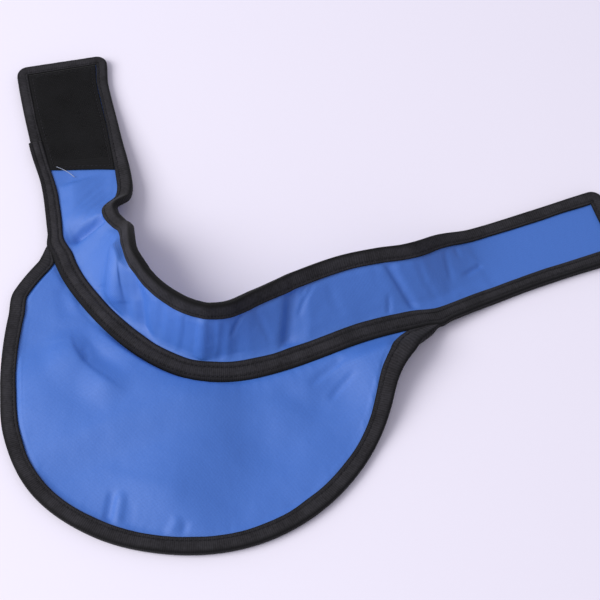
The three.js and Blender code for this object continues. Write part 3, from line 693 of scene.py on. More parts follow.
def woven_nylon(name, low, high):
    """Coated plain-weave nylon: a soft gloss over a fine weave, with slight crumpling.

    Its real threads are about 0.4 mm apart, too fine to show, so they are drawn 0.8 mm apart.
    """
    material, tree, shader = new_material(name)
    cloth = add(tree, "ShaderNodeUVMap", uv_map="cloth").outputs["UV"]
    solid = add(tree, "ShaderNodeTexCoord").outputs["Object"]
    threads = [
        add(tree, "ShaderNodeTexWave", {"Vector": cloth, "Scale": wave_scale(0.8 * MM), "Distortion": 1.2,
                                        "Detail": 2.0, "Detail Scale": 1.5},
            wave_type="BANDS", bands_direction=direction).outputs["Fac"]
        for direction in ("X", "Y")
    ]
    weave = add(tree, "ShaderNodeMath", {0: threads[0], 1: threads[1]}, operation="ADD").outputs[0]
    crumple = add(tree, "ShaderNodeTexNoise", {"Vector": solid, "Scale": 1 / (5 * MM), "Detail": 3.0,
                                               "Roughness": 0.6}).outputs["Fac"]
    grain = add(tree, "ShaderNodeTexNoise", {"Vector": cloth, "Scale": 1 / (1.2 * MM), "Detail": 2.0,
                                             "Roughness": 0.7}).outputs["Fac"]
    fine = add(tree, "ShaderNodeMath", {0: weave, 1: grain}, operation="ADD").outputs[0]
    colour = shade(tree, fine, low, high, 0.6, 2.4)
    weave_bump = add(tree, "ShaderNodeBump", {"Height": weave, "Strength": 0.35, "Distance": 0.10 * MM})
    crumple_bump = add(tree, "ShaderNodeBump", {"Height": crumple, "Strength": 0.35, "Distance": 0.5 * MM,
                                                "Normal": weave_bump.outputs[0]})
    tree.links.new(colour, shader.inputs["Base Color"])
    tree.links.new(crumple_bump.outputs[0], shader.inputs["Normal"])
    shader.inputs["Roughness"].default_value = 0.6
    shader.inputs["Specular IOR Level"].default_value = 0.75
    shader.inputs["Sheen Weight"].default_value = 0.10
    shader.inputs["Sheen Roughness"].default_value = 0.4
    shader.inputs["Sheen Tint"].default_value = linear("#8fb4f6")
    return material


def ribbed_tape(name, low, high, edge=None):
    """Woven polyester tape: matt, with cross ribs and dusty high spots. Real ribs are about
    0.7 mm apart and are drawn 1.4 mm apart, so that they show.

    Where an edge colour is given, the tape is painted that dark as shade at its folds and lips
    and in its stitch rows, by a per-point attribute that is low there.
    """
    material, tree, shader = new_material(name)
    cloth = add(tree, "ShaderNodeUVMap", uv_map="cloth").outputs["UV"]
    solid = add(tree, "ShaderNodeTexCoord").outputs["Object"]
    ribs = add(tree, "ShaderNodeTexWave", {"Vector": cloth, "Scale": wave_scale(1.4 * MM), "Distortion": 1.0,
                                           "Detail": 2.0}, wave_type="BANDS", bands_direction="X")
    fuzz = add(tree, "ShaderNodeTexNoise", {"Vector": solid, "Scale": 1 / (1.6 * MM), "Detail": 3.0})
    drift = add(tree, "ShaderNodeTexNoise", {"Vector": solid, "Scale": 1 / (14 * MM), "Detail": 2.0})
    tone = add(tree, "ShaderNodeMath", {0: fuzz.outputs["Fac"], 1: drift.outputs["Fac"]}, operation="ADD")
    ribbed = add(tree, "ShaderNodeMath", {0: ribs.outputs["Fac"], 1: 0.35, 2: tone.outputs[0]},
                 operation="MULTIPLY_ADD")
    colour = shade(tree, ribbed.outputs[0], low, high, 0.75, 1.65)
    # Painted shade: the edge colour darkens the tape at its folds, lips and stitch rows
    if edge:
        unshaded = add(tree, "ShaderNodeAttribute", attribute_name="unshaded").outputs["Fac"]
        edge_shaded = add(tree, "ShaderNodeMix", {"Factor": unshaded}, data_type="RGBA")
        edge_shaded.inputs[6].default_value = linear(edge)
        tree.links.new(colour, edge_shaded.inputs[7])
        colour = edge_shaded.outputs[2]
    rib_bump = add(tree, "ShaderNodeBump", {"Height": ribs.outputs["Fac"], "Strength": 0.6,
                                            "Distance": 0.22 * MM})
    fuzz_bump = add(tree, "ShaderNodeBump", {"Height": fuzz.outputs["Fac"], "Strength": 0.5,
                                             "Distance": 0.3 * MM, "Normal": rib_bump.outputs[0]})
    tree.links.new(colour, shader.inputs["Base Color"])
    tree.links.new(fuzz_bump.outputs[0], shader.inputs["Normal"])
    shader.inputs["Roughness"].default_value = 0.85
    shader.inputs["Specular IOR Level"].default_value = 0.2
    shader.inputs["Sheen Weight"].default_value = 0.05
    shader.inputs["Sheen Roughness"].default_value = 0.5
    return material


blue_nylon = woven_nylon("blue coated nylon", "#2f60b4", "#3e74ce")
# The black tape's darkest colour is painted shade at its folds, lips and stitch rows
black_tape = ribbed_tape("black polyester tape", "#171619", "#333237", "#08080b")

# The hooks' ground and the threads are matt and fibrous as the tape is, in tones of their own
hook_nylon = ribbed_tape("black hook tape", "#060608", "#121215")
black_thread = ribbed_tape("black polyester thread", "#1a1a1e", "#2d2c32")
white_thread = ribbed_tape("white polyester thread", "#8f97ab", "#b4bbcc")


# Pieces

# How finely the two panels are laid out, lengthwise and across, and where on the band's width
# their rows under the tapes lie
BAND_COLUMNS, BAND_ROWS = 441, 41
BIB_COLUMNS, BIB_ROWS = 421, 71
UNDER_TAPE = (0.03, 0.06)

# The cloth's relief is full this far in from a tape, and its underside follows it by a share
RELIEF_RUN = 3
BAND_UNDERSIDE = 0.5
BIB_UNDERSIDE = 0.3

# The cloth's slow swells and its finer unevenness: how high and how wide each is
BAND_SWELL, BAND_SWELL_SIZE = 0.4, 13
BAND_FINE, BAND_FINE_SIZE = 0.12, 5.5
BIB_SWELL, BIB_SWELL_SIZE = 1.1, 31
BIB_FINE, BIB_FINE_SIZE = 0.15, 9


def collar_cloth():
    """The band's padded panel: the folded sheet with creases, puckers and its own thickness."""
    s = np.linspace(PANEL_INSET, COLLAR_LENGTH - PANEL_INSET, BAND_COLUMNS)
    near, far = UNDER_TAPE
    share = np.concatenate([[-far, -near], np.linspace(0, 1, BAND_ROWS), [1 + near, 1 + far]])
    radius = CORNER_RADIUS - PANEL_INSET
    from_end = np.minimum(s, COLLAR_LENGTH - s) - PANEL_INSET
    into = np.clip(radius - from_end, 0, radius)
    cut = radius - np.sqrt(radius ** 2 - into ** 2)
    low = seam_tape_width(s)
    high = band_width(s) - binding_width(s)
    w = low[:, None] + (high - low)[:, None] * share
    w = np.clip(w, (panel_foot(s) + cut)[:, None], (band_width(s) - PANEL_INSET - cut)[:, None])
    s_grid = np.broadcast_to(s[:, None], w.shape)
    from_seam = w - low[:, None]
    from_binding = high[:, None] - w
    from_patches = np.minimum(s - TAB_PATCH_END, STRAP_PATCH_END - s)[:, None]
    inner = np.minimum(np.minimum(from_seam, from_binding), from_patches)
    half = half_thickness(inner)
    free = smooth(inner / RELIEF_RUN)
    relief = crease_height(s_grid, w, BAND_CREASES)
    relief = relief + BAND_SWELL * lattice_noise(s_grid, w * 0.5, BAND_SWELL_SIZE, 3)
    relief = relief + BAND_FINE * lattice_noise(s_grid, w, BAND_FINE_SIZE, 4)
    relief = relief + pucker(s_grid, from_seam, 11) + pucker(s_grid, from_binding, 13)
    top = on_band(s_grid, w, half + free * relief)
    bottom = on_band(s_grid, w, -half + BAND_UNDERSIDE * free * relief)
    across = low[0] + (high[0] - low[0]) * share
    piece = slab("collar_cloth", top, bottom, s, across, blue_nylon, ["collar_panel"])
    return piece


# Just before its right end the hem is drawn in: where, over what share of it, and how far
DRAWN_AT = 0.985
DRAWN_OVER = 0.0125
DRAWN_BY = 3.2


def drawn_in(u):
    """How far in the hem is drawn: one bump along it."""
    return DRAWN_BY * bump((u - DRAWN_AT) / DRAWN_OVER)


def bib_cloth():
    """The bib's padded panel: columns from the seam to the hem, as the solid's run."""
    u = np.linspace(PANEL_START, PANEL_END, BIB_COLUMNS)
    inner_end = hem_inset(u, hem_tape_width(u))
    foot, _ = nearest_on_edge(inner_end)
    neck = lower_edge_at(foot)
    share = np.linspace(0, 1, BIB_ROWS)
    points = neck[:, None] + (inner_end - neck)[:, None] * share[:, None]
    margin = band_sheet(foot, np.full_like(foot, SEAM_MARGIN - CLEARANCE))[:, :2]
    hem = hem_inset(u, PANEL_INSET + drawn_in(u))
    points = np.concatenate([margin[:, None], points, hem[:, None]], axis=1)
    run = np.linalg.norm(inner_end - neck, axis=-1)
    from_seam = np.concatenate([[0], share, [1]]) * run[:, None]
    from_hem = run[:, None] - from_seam
    inner = np.minimum(from_seam, from_hem)
    inner[:, [0, -1]] = 0
    half = half_thickness(inner)
    free = smooth(inner / RELIEF_RUN)
    from_left = points - left_junction
    across, down = from_left @ across_bib, from_left @ down_bib
    relief = crease_height(across, down, BIB_CREASES)
    relief = relief + BIB_SWELL * lattice_noise(across, down, BIB_SWELL_SIZE, 5)
    relief = relief + BIB_FINE * lattice_noise(across, down, BIB_FINE_SIZE, 6)
    relief = relief + pucker(foot[:, None] + across * 0, from_seam, 15)
    relief = relief + pucker((u * HEM_LENGTH)[:, None] + across * 0, from_hem, 17)
    top = on_bib(points, half + free * relief)
    bottom = on_bib(points, -half + BIB_UNDERSIDE * free * relief)
    straight = np.stack([across, down], axis=-1)
    piece = slab("bib_cloth", top, bottom, u, np.arange(points.shape[1]), blue_nylon,
                 ["bib_panel"], cloth=straight)
    return piece


# Where across a folded tape its row of stitches runs, and how far its width wavers
TAPE_STITCHES = 0.77
TAPE_WAVER = 0.03

# Half the section of a folded tape, from the middle of its fold to its inner lip: share of the
# way in along the upper strip, and height over the strip's upper face
TAPE_CROWN = [
    (0.05, -0.42), (0.10, -0.16), (0.17, -0.02), (0.28, 0.06), (0.42, 0.08), (0.55, 0.06),
    (0.66, 0.00), (0.72, -0.16), (0.77, -0.26), (0.82, -0.14), (0.90, 0.02), (0.97, -0.06),
    (1.00, -0.25),
]

# The fold between the strips: inset from the edge, and height over the sheet
TAPE_FOLD = [(0.18, -1.9), (0.0, -0.9), (0.0, 0.9), (0.18, 1.9)]


def unshaded_share(shares, rows=()):
    """How free of painted shade a strip is: full on its flats, none at its fold and lip or in a stitch row,
    which are painted dark as shade.
    """
    pale = smooth(shares / 0.3) * smooth((1 - shares) / 0.12)
    for row in rows:
        pale = pale * (1 - 0.75 * bump((shares - row) / 0.035))
    return pale


def folded_tape_section(reach):
    """A tape folded round an edge, as inset and distance off the sheet.

    It goes out over the upper strip, crowned and pressed in by its row of stitches, round
    the fold, back along the lower strip, and returns inside both strips.
    """
    reach = np.asarray(reach, float)[..., None]
    crown = np.array(TAPE_CROWN)
    upper_in = reach * crown[:, 0]
    upper_off = np.broadcast_to(FLANGE_OUTSIDE + crown[:, 1], upper_in.shape)
    fold_in, fold_off = (np.broadcast_to(part, (*reach.shape[:-1], len(part)))
                         for part in zip(*TAPE_FOLD))
    depth = np.minimum(TAPE_THICKNESS, reach / 2)
    inside_in = np.concatenate([reach, depth, depth, reach], axis=-1)
    inside_off = np.broadcast_to([FLANGE_INSIDE, FLANGE_INSIDE, -FLANGE_INSIDE, -FLANGE_INSIDE],
                                 inside_in.shape)
    lower_in = upper_in[..., ::-1]
    lower_off = -upper_off[..., ::-1]
    inset = np.concatenate([lower_in, fold_in, upper_in, inside_in], axis=-1)
    off = np.concatenate([lower_off, fold_off, upper_off, inside_off], axis=-1)
    return inset, off


def folded_tape_unshaded():
    """The share of each point of folded_tape_section() that is free of painted shade."""
    strip = unshaded_share(np.array(TAPE_CROWN)[:, 0], [TAPE_STITCHES])
    fold = np.zeros(len(TAPE_FOLD))
    inside = np.zeros(4)
    return np.concatenate([strip[::-1], fold, strip, inside])


def around_section(inset, off):
    """How far round a section each of its points is, with the way back to the first."""
    ring_in, ring_off = np.append(inset, inset[0]), np.append(off, off[0])
    return np.concatenate([[0], np.cumsum(np.hypot(np.diff(ring_in), np.diff(ring_off)))])


# How far round a full-width binding each point of its section is
TAPE_AROUND = around_section(*(part[0] for part in folded_tape_section([BINDING_WIDTH])))


def stretch(s, s_side, s_turn, w, from_top, w_side, w_turn):
    """Stops of the binding's way round the band, one row each, as stop_place() reads them."""
    return np.column_stack(np.broadcast_arrays(s, s_side, s_turn, w, from_top, w_side, w_turn))


def collar_route():
    """The binding's stops: from the seam tape down the tab, round both ends to the seam tape."""
    turn = np.radians(np.linspace(90, 0, 13))
    cos, sin = np.cos(turn), np.sin(turn)
    length, corner = COLLAR_LENGTH, CORNER_RADIUS
    tab_high = float(band_width(0.0)) - corner
    strap_high = float(band_width(float(length))) - corner
    return np.vstack([
        stretch(np.linspace(SEAM_TAPE_START - CLEARANCE, corner + 1, 45), 0, 1, 0, 0, 1, 1),
        stretch(0, 1, cos, 0, 0, 1, sin),
        stretch(0, 1, 1, np.linspace(corner + 1, tab_high - 1, 34), 0, 0, 1),
        stretch(0, 1, cos[::-1], 0, 1, 1, sin[::-1]),
        stretch(np.linspace(corner + 1, length - corner - 1, 480), 0, 1, 0, 1, 1, 1),
        stretch(length, -1, cos, 0, 1, 1, sin),
        stretch(length, -1, 1, np.linspace(strap_high - 1, corner + 1, 30), 0, 0, 1),
        stretch(length, -1, cos[::-1], 0, 0, 1, sin[::-1]),
        stretch(np.linspace(length - corner - 1, SEAM_TAPE_END + CLEARANCE, 4), 0, 1, 0, 0, 1, 1),
    ])


# The least radius of a corner and the least way in from an end, deep inside the tape
LEAST_RADIUS = 0.5


def stop_place(stops, inset):
    """s and w of each stop at each inset from the edge. On a corner the inset shortens the
    arc's radius, down to the least one."""
    s0, s_side, s_turn, w0, from_top, w_side, w_turn = (stops[:, k, None] for k in range(7))
    radius = np.maximum(CORNER_RADIUS - inset, LEAST_RADIUS)
    s = np.where(s_side == 0, s0, s0 + s_side * (inset + radius - radius * s_turn))
    s = np.clip(s, inset * (s_side >= 0), COLLAR_LENGTH - inset * (s_side <= 0))
    in_from_side = inset + radius - radius * w_turn
    width = band_width(s)
    low_w = np.where(from_top > 0, width - in_from_side, in_from_side)
    least = inset + LEAST_RADIUS
    w = np.where(w_side == 0, np.clip(w0, least, width - least), low_w)
    s = np.where(s_side == 0, np.clip(s, least, COLLAR_LENGTH - least), s)
    return s, w


def run_length(points):
    """How far along a line of points each one is."""
    steps = np.linalg.norm(np.diff(points, axis=0), axis=-1)
    return np.concatenate([[0], np.cumsum(steps)])


def tape_relief(run, seed):
    """The tape's own unevenness along its run: slow waves and the gathers of its stitches."""
    run = np.asarray(run)[:, None]
    slow = lattice_noise(run, run * 0, 24, seed) * 0.16
    return slow + lattice_noise(run, run * 0, 4.2, seed + 1) * 0.09


def outer_side(off):
    """Which way is out for each point of a section: up or down on its faces, none inside."""
    return np.sign(off) * (np.abs(off) > FLANGE_INSIDE + CLEARANCE)


def collar_binding_tape():
    """The binding round the band: the folded section carried along the route."""
    stops = collar_route()
    s_edge, w_edge = stop_place(stops, np.zeros((len(stops), 1)))
    run = run_length(np.concatenate([s_edge, w_edge], axis=-1))
    reach = binding_width(s_edge[:, 0]) * (1 + TAPE_WAVER * lattice_noise(run, run * 0, 17, 21))
    inset, off = folded_tape_section(reach)
    off = off + tape_relief(run, 23) * outer_side(off)
    s, w = stop_place(stops, inset)
    rings = on_band(s, w, off)
    lofted("collar_binding_tape", rings, run, TAPE_AROUND, black_tape,
           ["collar_binding"], unshaded=folded_tape_unshaded())
    return stops, run, reach


# In how many steps the hem binding's reach is tried
HEM_REACH_STEPS = 60


def hem_tape_reach(u):
    """How far in from the hem the binding reaches: its width, or less beside the seam tape. It
    is tried in even steps, and goes up to the last one that is clear."""
    wanted = hem_tape_width(u)
    steps = np.linspace(0, 1, HEM_REACH_STEPS + 1)
    inset = wanted[:, None] * steps
    s, out = nearest_on_edge(hem_inset(u[:, None] + inset * 0, inset))
    lean = np.sin(np.radians(seam_lean_at(s / COLLAR_LENGTH)))
    clear = np.cumprod(out > FLANGE_OUTSIDE * lean - CLEARANCE, axis=1)
    return wanted * np.clip(clear.sum(axis=1) - 1, 0, HEM_REACH_STEPS) / HEM_REACH_STEPS


# The bib's binding starts where it is this wide. There its fold is drawn in by the trim, by so
# much of its width at most, and it is thinned to a share.
TIP_REACH = 0.8
TIP_TRIM = 2.4
TIP_TRIM_MOST = 0.55
TIP_THINNED = 0.45


def bib_binding_tape():
    """The binding round the hem: the folded section carried along it. At both ends it narrows,
    thins and draws its fold in, so that it runs out along the seam tape."""
    u = np.linspace(0, 1, 561)
    reach = hem_tape_reach(u)
    there = reach >= TIP_REACH
    u, reach = u[there], reach[there]
    run = u * HEM_LENGTH
    full = smooth(reach / BINDING_WIDTH)
    trim = np.minimum((1 - full) * TIP_TRIM + drawn_in(u), reach * TIP_TRIM_MOST)
    waviness = 1 + TAPE_WAVER * lattice_noise(run, run * 0, 17, 31)
    inset, off = folded_tape_section(reach * waviness)
    inset = trim[:, None] + inset * (1 - trim / reach)[:, None]
    off = off + tape_relief(run, 33) * outer_side(off)
    off = off * (TIP_THINNED + (1 - TIP_THINNED) * full)[:, None]
    rings = on_bib(hem_inset(u[:, None] + inset * 0, inset), off)
    lofted("bib_binding_tape", rings, run, TAPE_AROUND, black_tape, ["bib_binding"],
           unshaded=folded_tape_unshaded())
    sewn = reach > 0.8 * BINDING_WIDTH
    return u[sewn], run[sewn], reach[sewn]


# The seam tape's upper face: share of its width, and height over the flat strip. Two rows of
# stitches press it into three ridges, and the heights are drawn half as high again.
SEAM_CROWN = np.array([
    (0.00, -0.50), (0.03, -0.18), (0.10, 0.02), (0.17, 0.04), (0.22, -0.08), (0.26, -0.34),
    (0.30, -0.08), (0.38, 0.06), (0.50, 0.09), (0.62, 0.06), (0.69, -0.08), (0.73, -0.34),
    (0.77, -0.08), (0.83, 0.04), (0.90, 0.02), (0.96, -0.12), (1.00, -0.45),
])
SEAM_STITCHES = (0.26, 0.73)
SEAM_RIDGES = 1.5

# Where it starts on the tab, its turned end stands proud of the collar's binding
START_PROUD = 1.4
START_SWELL = 0.22
START_RUNOUT = 34

# Inside both junctions it stands out over the tips of the bib's binding
JUNCTION_PROUD = 1.8
JUNCTION_SPREAD = 5.0


def seam_tape_cloth():
    """The seam tape: two strips and a web between them, with the bib's margin in its pocket."""
    s = np.linspace(SEAM_TAPE_START, SEAM_TAPE_END, 461)
    share = joined(s)[:, None]
    waviness = 1 + 0.025 * lattice_noise(s, s * 0, 15, 41)
    reach = (seam_tape_width(s) * waviness)[:, None]
    foot = panel_foot(s)[:, None] - CLEARANCE
    pocket = share * SEAM_MARGIN
    mouth = FLANGE_INSIDE * (1 + share) / 2
    relief = tape_relief(s, 43)
    turned_in = 1 - smooth((s[:, None] - SEAM_TAPE_START) / START_RUNOUT)
    top_in = reach * SEAM_CROWN[:, 0]
    top_off = FLANGE_OUTSIDE + SEAM_CROWN[:, 1] * SEAM_RIDGES + relief
    one = np.ones_like(reach)
    inset = np.concatenate([top_in, reach, foot, foot, reach, top_in[:, ::-1],
                            0 * one, pocket, pocket, 0 * one], axis=1)
    off = np.concatenate([top_off, FLANGE_INSIDE * one, FLANGE_INSIDE * one, -FLANGE_INSIDE * one,
                          -FLANGE_INSIDE * one, -top_off[:, ::-1],
                          -FLANGE_INSIDE * one, -mouth, mouth, FLANGE_INSIDE * one], axis=1)
    at_left = bump((s - NECK_START) / JUNCTION_SPREAD - 1)
    at_right = bump((s - NECK_END) / JUNCTION_SPREAD + 0.5)
    proud = START_PROUD * turned_in + JUNCTION_PROUD * (at_left + at_right)[:, None]
    inset = inset - proud * (1 - inset / reach)
    off = off * (1 + START_SWELL * turned_in)
    rings = on_band(s[:, None] + inset * 0, inset, off)
    middle = len(s) // 2
    around = around_section(inset[middle], off[middle])
    # The seam tape is free of painted shade on its flats and painted dark as shade at its edges and in its
    # stitch rows
    strip = unshaded_share(SEAM_CROWN[:, 0], SEAM_STITCHES)
    unshaded = np.concatenate([strip, np.zeros(4), strip[::-1], np.zeros(4)])
    lofted("seam_tape_cloth", rings, s, around, black_tape, ["neck_seam_tape"], unshaded=unshaded)
    return s, reach[:, 0]


# A stitch's rings: share of the way along it, share of its thickness, and rise in millimetres
STITCH_RINGS = np.array([
    (0, 0.25, -0.25), (0.2, 0.85, 0.05), (0.5, 1, 0.15), (0.8, 0.85, 0.05), (1, 0.25, -0.25),
])
STITCH_SIDES = 6
STITCH_THICKNESS = 0.55


def stitches(name, starts, ends, normals, material):
    """A row of stitches: each a thread from one point to another, as rings of points about its
    axis, bowed up along the normal."""
    share, fat, bow = STITCH_RINGS.T
    fat = fat * STITCH_THICKNESS / 2
    turn = np.radians(np.arange(STITCH_SIDES) * 360 / STITCH_SIDES)
    axis = ends - starts
    side = np.cross(axis, normals)
    side = side / np.linalg.norm(side, axis=-1, keepdims=True)
    spine = starts[:, None] + axis[:, None] * share[:, None] + normals[:, None] * bow[:, None]
    round_about = (side[:, None, None] * np.cos(turn)[:, None]
                   + normals[:, None, None] * np.sin(turn)[:, None]) * fat[:, None, None]
    points = (spine[:, :, None] + round_about).reshape(-1, 3)
    size = len(share) * STITCH_SIDES
    around = np.arange(STITCH_SIDES)
    quads = repeated(ring_quads(len(share), STITCH_SIDES), len(starts), size)
    caps = repeated(np.stack([around[::-1], around + size - STITCH_SIDES]), len(starts), size)
    loops = np.concatenate([quads.ravel(), caps.ravel()])
    begins = np.concatenate([np.arange(len(quads)) * 4, quads.size + np.arange(len(caps)) * STITCH_SIDES])
    uv = points[loops][:, :2] * MM
    return new_piece(name, place(points), loops, begins, uv, material, ())


def stitch_ends(places, gap, length):
    """For a row whose run is given in millimetres, where each stitch starts and ends."""
    middles = np.arange(places[0] + gap, places[-1] - gap, gap)
    return middles - length / 2, middles + length / 2


# From stitch to stitch, how long each is, and how deep its row is sunk in a binding
STITCH_GAP, STITCH_LENGTH = 3.1, 2.3
STITCH_SUNK = 0.12
SEAM_STITCH_SUNK = 0.2


def row_points(run, line, at):
    """Points at runs along a line of points, straight between its two nearest ones."""
    return np.stack([np.interp(at, run, line[:, k]) for k in range(3)], axis=-1)


def sewn_row(name, run, line, lifted):
    """A row of stitches along a line on a tape; lifted is the same line a millimetre higher."""
    start, end = stitch_ends(run, STITCH_GAP, STITCH_LENGTH)
    starts, ends = row_points(run, line, start), row_points(run, line, end)
    middle = (start + end) / 2
    normals = row_points(run, lifted, middle) - row_points(run, line, middle)
    normals = normals / np.linalg.norm(normals, axis=-1, keepdims=True)
    stitches(name, starts, ends, normals, black_thread)


def sew_collar_binding(stops, run, reach):
    """The row on the band's binding, pressed a little into it."""
    s, w = stop_place(stops, (reach * TAPE_STITCHES)[:, None])
    off = FLANGE_OUTSIDE - STITCH_SUNK
    line = on_band(s, w, off)[:, 0]
    lifted = on_band(s, w, off + 1)[:, 0]
    sewn_row("collar_binding_stitches", run, line, lifted)


def sew_bib_binding(u, run, reach):
    """The row on the hem's binding, pressed a little into it."""
    points = hem_inset(u, reach * TAPE_STITCHES)
    off = np.full(len(u), FLANGE_OUTSIDE - STITCH_SUNK)
    sewn_row("bib_binding_stitches", run, on_bib(points, off), on_bib(points, off + 1))


def sew_seam_tape(s, reach):
    """The two rows of the seam tape, in the grooves between its ridges."""
    for count, share in enumerate(SEAM_STITCHES):
        w = reach * share
        off = FLANGE_OUTSIDE - SEAM_STITCH_SUNK
        sewn_row(f"seam_tape_stitches_{count + 1}", s, on_band(s, w, off), on_band(s, w, off + 1))


# How far in from the patch's edge its row of stitches runs
PATCH_SEAM_INSET = 2.2


def hook_patch_base():
    """The hook patch's backing: a thin slab on the tab's face, uneven as a sewn patch is. Its
    lower side starts a little under the binding."""
    share, rise = np.meshgrid(np.linspace(0, 1, 121), np.linspace(-0.015, 1, 61), indexing="ij")
    from_ends = np.minimum(share, 1 - share) * PATCH_LENGTH
    edge = np.minimum(from_ends, np.minimum(rise, 1 - rise) * PATCH_WIDTH)
    uneven = lattice_noise(share * PATCH_LENGTH, rise * PATCH_WIDTH, 9, 51)
    lift = 0.22 * uneven * smooth(edge / 4)
    sewn = -0.25 * bump((edge - PATCH_SEAM_INSET) / 0.7)
    round_edge_drop = -0.35 * (1 - smooth(edge / 0.9))
    top = on_hook_patch(share, rise, FLANGE_INSIDE + HOOK_THICKNESS - 0.5 + lift + sewn + round_edge_drop)
    bottom = on_hook_patch(share, rise, np.full_like(share, FLANGE_INSIDE))
    slab("hook_patch_base", top, bottom, share[:, 0] * PATCH_LENGTH, rise[0] * PATCH_WIDTH,
         hook_nylon, ["hook_patch"])


# Between hooks, from the patch's edge to the first ones, and the strip without any at its end
HOOK_GAP = 1.45
HOOK_MARGIN = (3.5, 3.2)
BARE_STRIP = 7.5

# A hook's rings: height off the patch's foot, share of its lean, and half its width
HOOK_RINGS = np.array([(0.75, 0, 0.30), (1.15, 0.35, 0.24), (1.45, 1.0, 0.16)])


def hook_rows():
    """The hooks: thin bent stalks in staggered rows, each three rings of four points.

    Every hook stands on the patch and its tip leans back along the tab; a tenth of them lean
    the other way, as hooks bent by use do. A strip at the patch's inner end has none.
    """
    rng = np.random.default_rng(61)
    rows = np.arange(HOOK_MARGIN[0], PATCH_LENGTH - BARE_STRIP, HOOK_GAP)
    spots = np.arange(HOOK_MARGIN[1], PATCH_WIDTH - 2.5, HOOK_GAP)
    along, up = np.meshgrid(rows, spots, indexing="ij")
    up = up + (np.arange(len(rows)) % 2)[:, None] * HOOK_GAP / 2
    along = along + rng.normal(0, 0.12, along.shape)
    up = up + rng.normal(0, 0.12, up.shape)
    share, rise = (along / PATCH_LENGTH).ravel(), (up / PATCH_WIDTH).ravel()
    lean = np.where(rng.random(share.shape) < 0.1, -1, 1) * rng.uniform(0.25, 0.5, share.shape)
    heights, bends, widths = HOOK_RINGS.T
    turn = np.radians([45, 135, 225, 315])
    share = share[:, None, None] + ((lean[:, None] * bends)[:, :, None]
                                    + np.cos(turn) * widths[:, None]) / PATCH_LENGTH
    rise = rise[:, None, None] + np.sin(turn) * widths[:, None] / PATCH_WIDTH
    off = FLANGE_INSIDE + np.broadcast_to(heights[:, None], share.shape)
    points = on_hook_patch(share, rise, off).reshape(-1, 3)
    quads = np.vstack([ring_quads(3, 4), [[3, 2, 1, 0], [8, 9, 10, 11]]])
    loops = repeated(quads, len(points) // 12, 12).ravel()
    begins = np.arange(len(loops) // 4) * 4
    new_piece("hook_rows", place(points), loops, begins, points[loops][:, :2] * MM,
              hook_nylon, ())


def patch_stitches():
    """The row that sews the patch down, round it a little way in from its edge."""
    low_s, low_w = PATCH_SEAM_INSET / PATCH_LENGTH, PATCH_SEAM_INSET / PATCH_WIDTH
    high_s, high_w = 1 - low_s, 1 - low_w
    corners = np.array([(low_s, low_w), (high_s, low_w), (high_s, high_w), (low_s, high_w),
                        (low_s, low_w)])
    steps = np.linspace(0, 4, 241)
    share = np.interp(steps, np.arange(5), corners[:, 0])
    rise = np.interp(steps, np.arange(5), corners[:, 1])
    off = np.full(len(steps), FLANGE_INSIDE + HOOK_THICKNESS - 0.6)
    line, lifted = on_hook_patch(share, rise, off), on_hook_patch(share, rise, off + 1)
    sewn_row("hook_patch_stitches", run_length(line), line, lifted)


def tube(name, path, radius, material, sides=8):
    """A round thread: circles of one radius square to each step of a path."""
    ahead = np.gradient(path, axis=0)
    ahead = ahead / np.linalg.norm(ahead, axis=-1, keepdims=True)
    side = np.cross(ahead, [0, 0, 1])
    side = side / np.linalg.norm(side, axis=-1, keepdims=True)
    above = np.cross(side, ahead)
    turn = np.linspace(0, 2 * np.pi, sides, endpoint=False)
    rings = path[:, None] + radius * (side[:, None] * np.cos(turn)[:, None]
                                      + above[:, None] * np.sin(turn)[:, None])
    around = np.linspace(0, 2 * np.pi * radius, sides + 1)
    lofted(name, rings, run_length(path), around, material)


# The loose thread's start and run, along the collar and up the band, and its radius
THREAD_START = (93.5, 13.4)
THREAD_RUN = (11.5, 10.6)
THREAD_RADIUS = 0.2


def thread_tail():
    """The loose end of white thread at the patch's inner corner: a low arch on to the cloth."""
    t = np.linspace(0, 1, 25)
    arch = np.sin(np.pi * t)
    s = THREAD_START[0] + THREAD_RUN[0] * t
    w = THREAD_START[1] + THREAD_RUN[1] * t + 0.8 * arch
    off = FLANGE_OUTSIDE + 0.8 + 0.5 * arch - 0.7 * t
    tube("thread_tail", on_band(s, w, off), THREAD_RADIUS, white_thread)


def loop_pile():
    """Brushed loop pile of the strap's patch: short curls 1.5 mm across, matt black."""
    material, tree, shader = new_material("black loop pile")
    solid = add(tree, "ShaderNodeTexCoord").outputs["Object"]
    curls = add(tree, "ShaderNodeTexVoronoi", {"Vector": solid, "Scale": 1 / (1.5 * MM)})
    fuzz = add(tree, "ShaderNodeTexNoise", {"Vector": solid, "Scale": 1 / (0.6 * MM), "Detail": 2.0})
    tone = add(tree, "ShaderNodeMath", {0: curls.outputs["Distance"], 1: fuzz.outputs["Fac"]},
               operation="ADD")
    colour = shade(tree, tone.outputs[0], "#242329", "#0d0d10", 0.3, 1.2)
    relief = add(tree, "ShaderNodeBump", {"Height": tone.outputs[0], "Strength": 0.8, "Distance": 0.5 * MM})
    tree.links.new(colour, shader.inputs["Base Color"])
    tree.links.new(relief.outputs[0], shader.inputs["Normal"])
    shader.inputs["Roughness"].default_value = 0.9
    shader.inputs["Sheen Weight"].default_value = 0.3
    return material


collar_cloth()
bib_cloth()
sew_collar_binding(*collar_binding_tape())
sew_bib_binding(*bib_binding_tape())
sew_seam_tape(*seam_tape_cloth())
hook_patch_base()
hook_rows()
patch_stitches()
thread_tail()
loop_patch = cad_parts["loop_patch"]
loop_patch.data.materials.clear()
loop_patch.data.materials.append(loop_pile())


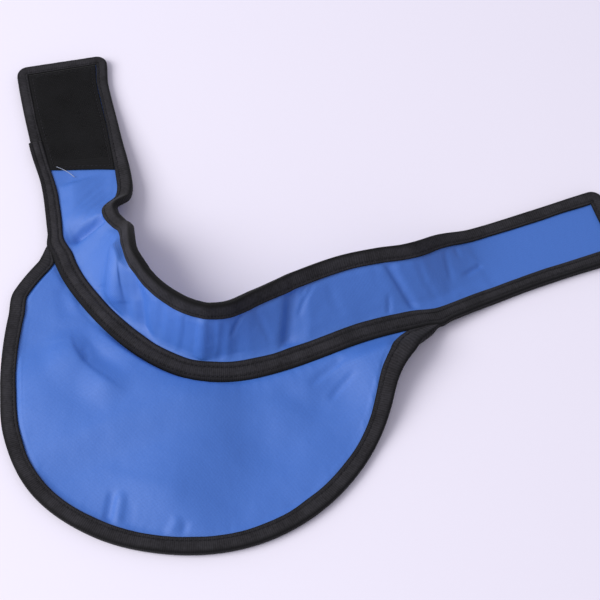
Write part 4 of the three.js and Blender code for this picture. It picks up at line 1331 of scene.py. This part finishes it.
# The photograph's view: the camera looks down by 60 degrees at the middle of its frame
VIEW_TARGET = np.array([-9.1, -9.6, 0.0]) * MM
VIEW_DISTANCE = 1160 * MM
VIEW_ELEVATION = math.radians(60)
IMAGE_WIDTH = 600
FOCAL_PIXELS = 1731.3
SENSOR_WIDTH = 36


def camera():
    """A camera straight back from the target at the view's elevation, as far as it stands."""
    data = bpy.data.cameras.new("view")
    data.sensor_width = SENSOR_WIDTH
    data.lens = FOCAL_PIXELS / IMAGE_WIDTH * SENSOR_WIDTH
    viewer = bpy.data.objects.new("view", data)
    back = np.array([0, -math.cos(VIEW_ELEVATION), math.sin(VIEW_ELEVATION)])
    viewer.location = VIEW_TARGET + back * VIEW_DISTANCE
    viewer.rotation_euler = (math.pi / 2 - VIEW_ELEVATION, 0, 0)
    bpy.context.scene.collection.objects.link(viewer)
    bpy.context.scene.camera = viewer


def soft_light(name, towards, distance, size, watts, colour):
    """A square softbox that faces the collar from a direction."""
    data = bpy.data.lights.new(name, "AREA")
    data.shape = "SQUARE"
    data.size = size
    data.energy = watts
    data.color = linear(colour)[:3]
    lamp = bpy.data.objects.new(name, data)
    direction = np.array(towards, float) / np.linalg.norm(towards)
    lamp.location = direction * distance
    quat = lamp.location.to_track_quat("Z", "Y")
    lamp.rotation_euler = quat.to_euler()
    bpy.context.scene.collection.objects.link(lamp)


def table():
    """A plain pale table top: matt laminate, slightly cool, just under the collar."""
    half = 2.5
    mesh = bpy.data.meshes.new("table")
    z = -0.2 * MM
    mesh.from_pydata([(-half, -half, z), (half, -half, z), (half, half, z), (-half, half, z)],
                     [], [(0, 1, 2, 3)])
    board = bpy.data.objects.new("table", mesh)
    bpy.context.scene.collection.objects.link(board)
    material, _, shader = new_material("pale laminate")
    shader.inputs["Base Color"].default_value = linear("#efebfa")
    shader.inputs["Roughness"].default_value = 0.9
    shader.inputs["Specular IOR Level"].default_value = 0.1
    mesh.materials.append(material)


def surroundings():
    """A pale, even room light all round, and plain colours in the picture."""
    world = bpy.data.worlds.new("pale room")
    bpy.context.scene.world = world
    world.use_nodes = True
    sky = world.node_tree.nodes["Background"]
    sky.inputs["Color"].default_value = linear("#f2f0fa")
    sky.inputs["Strength"].default_value = 0.57
    bpy.context.scene.view_settings.view_transform = "Standard"


camera()
table()
surroundings()
soft_light("key", (-0.70, -0.12, 0.60), 3.2, 2.1, 90, "#fffefa")
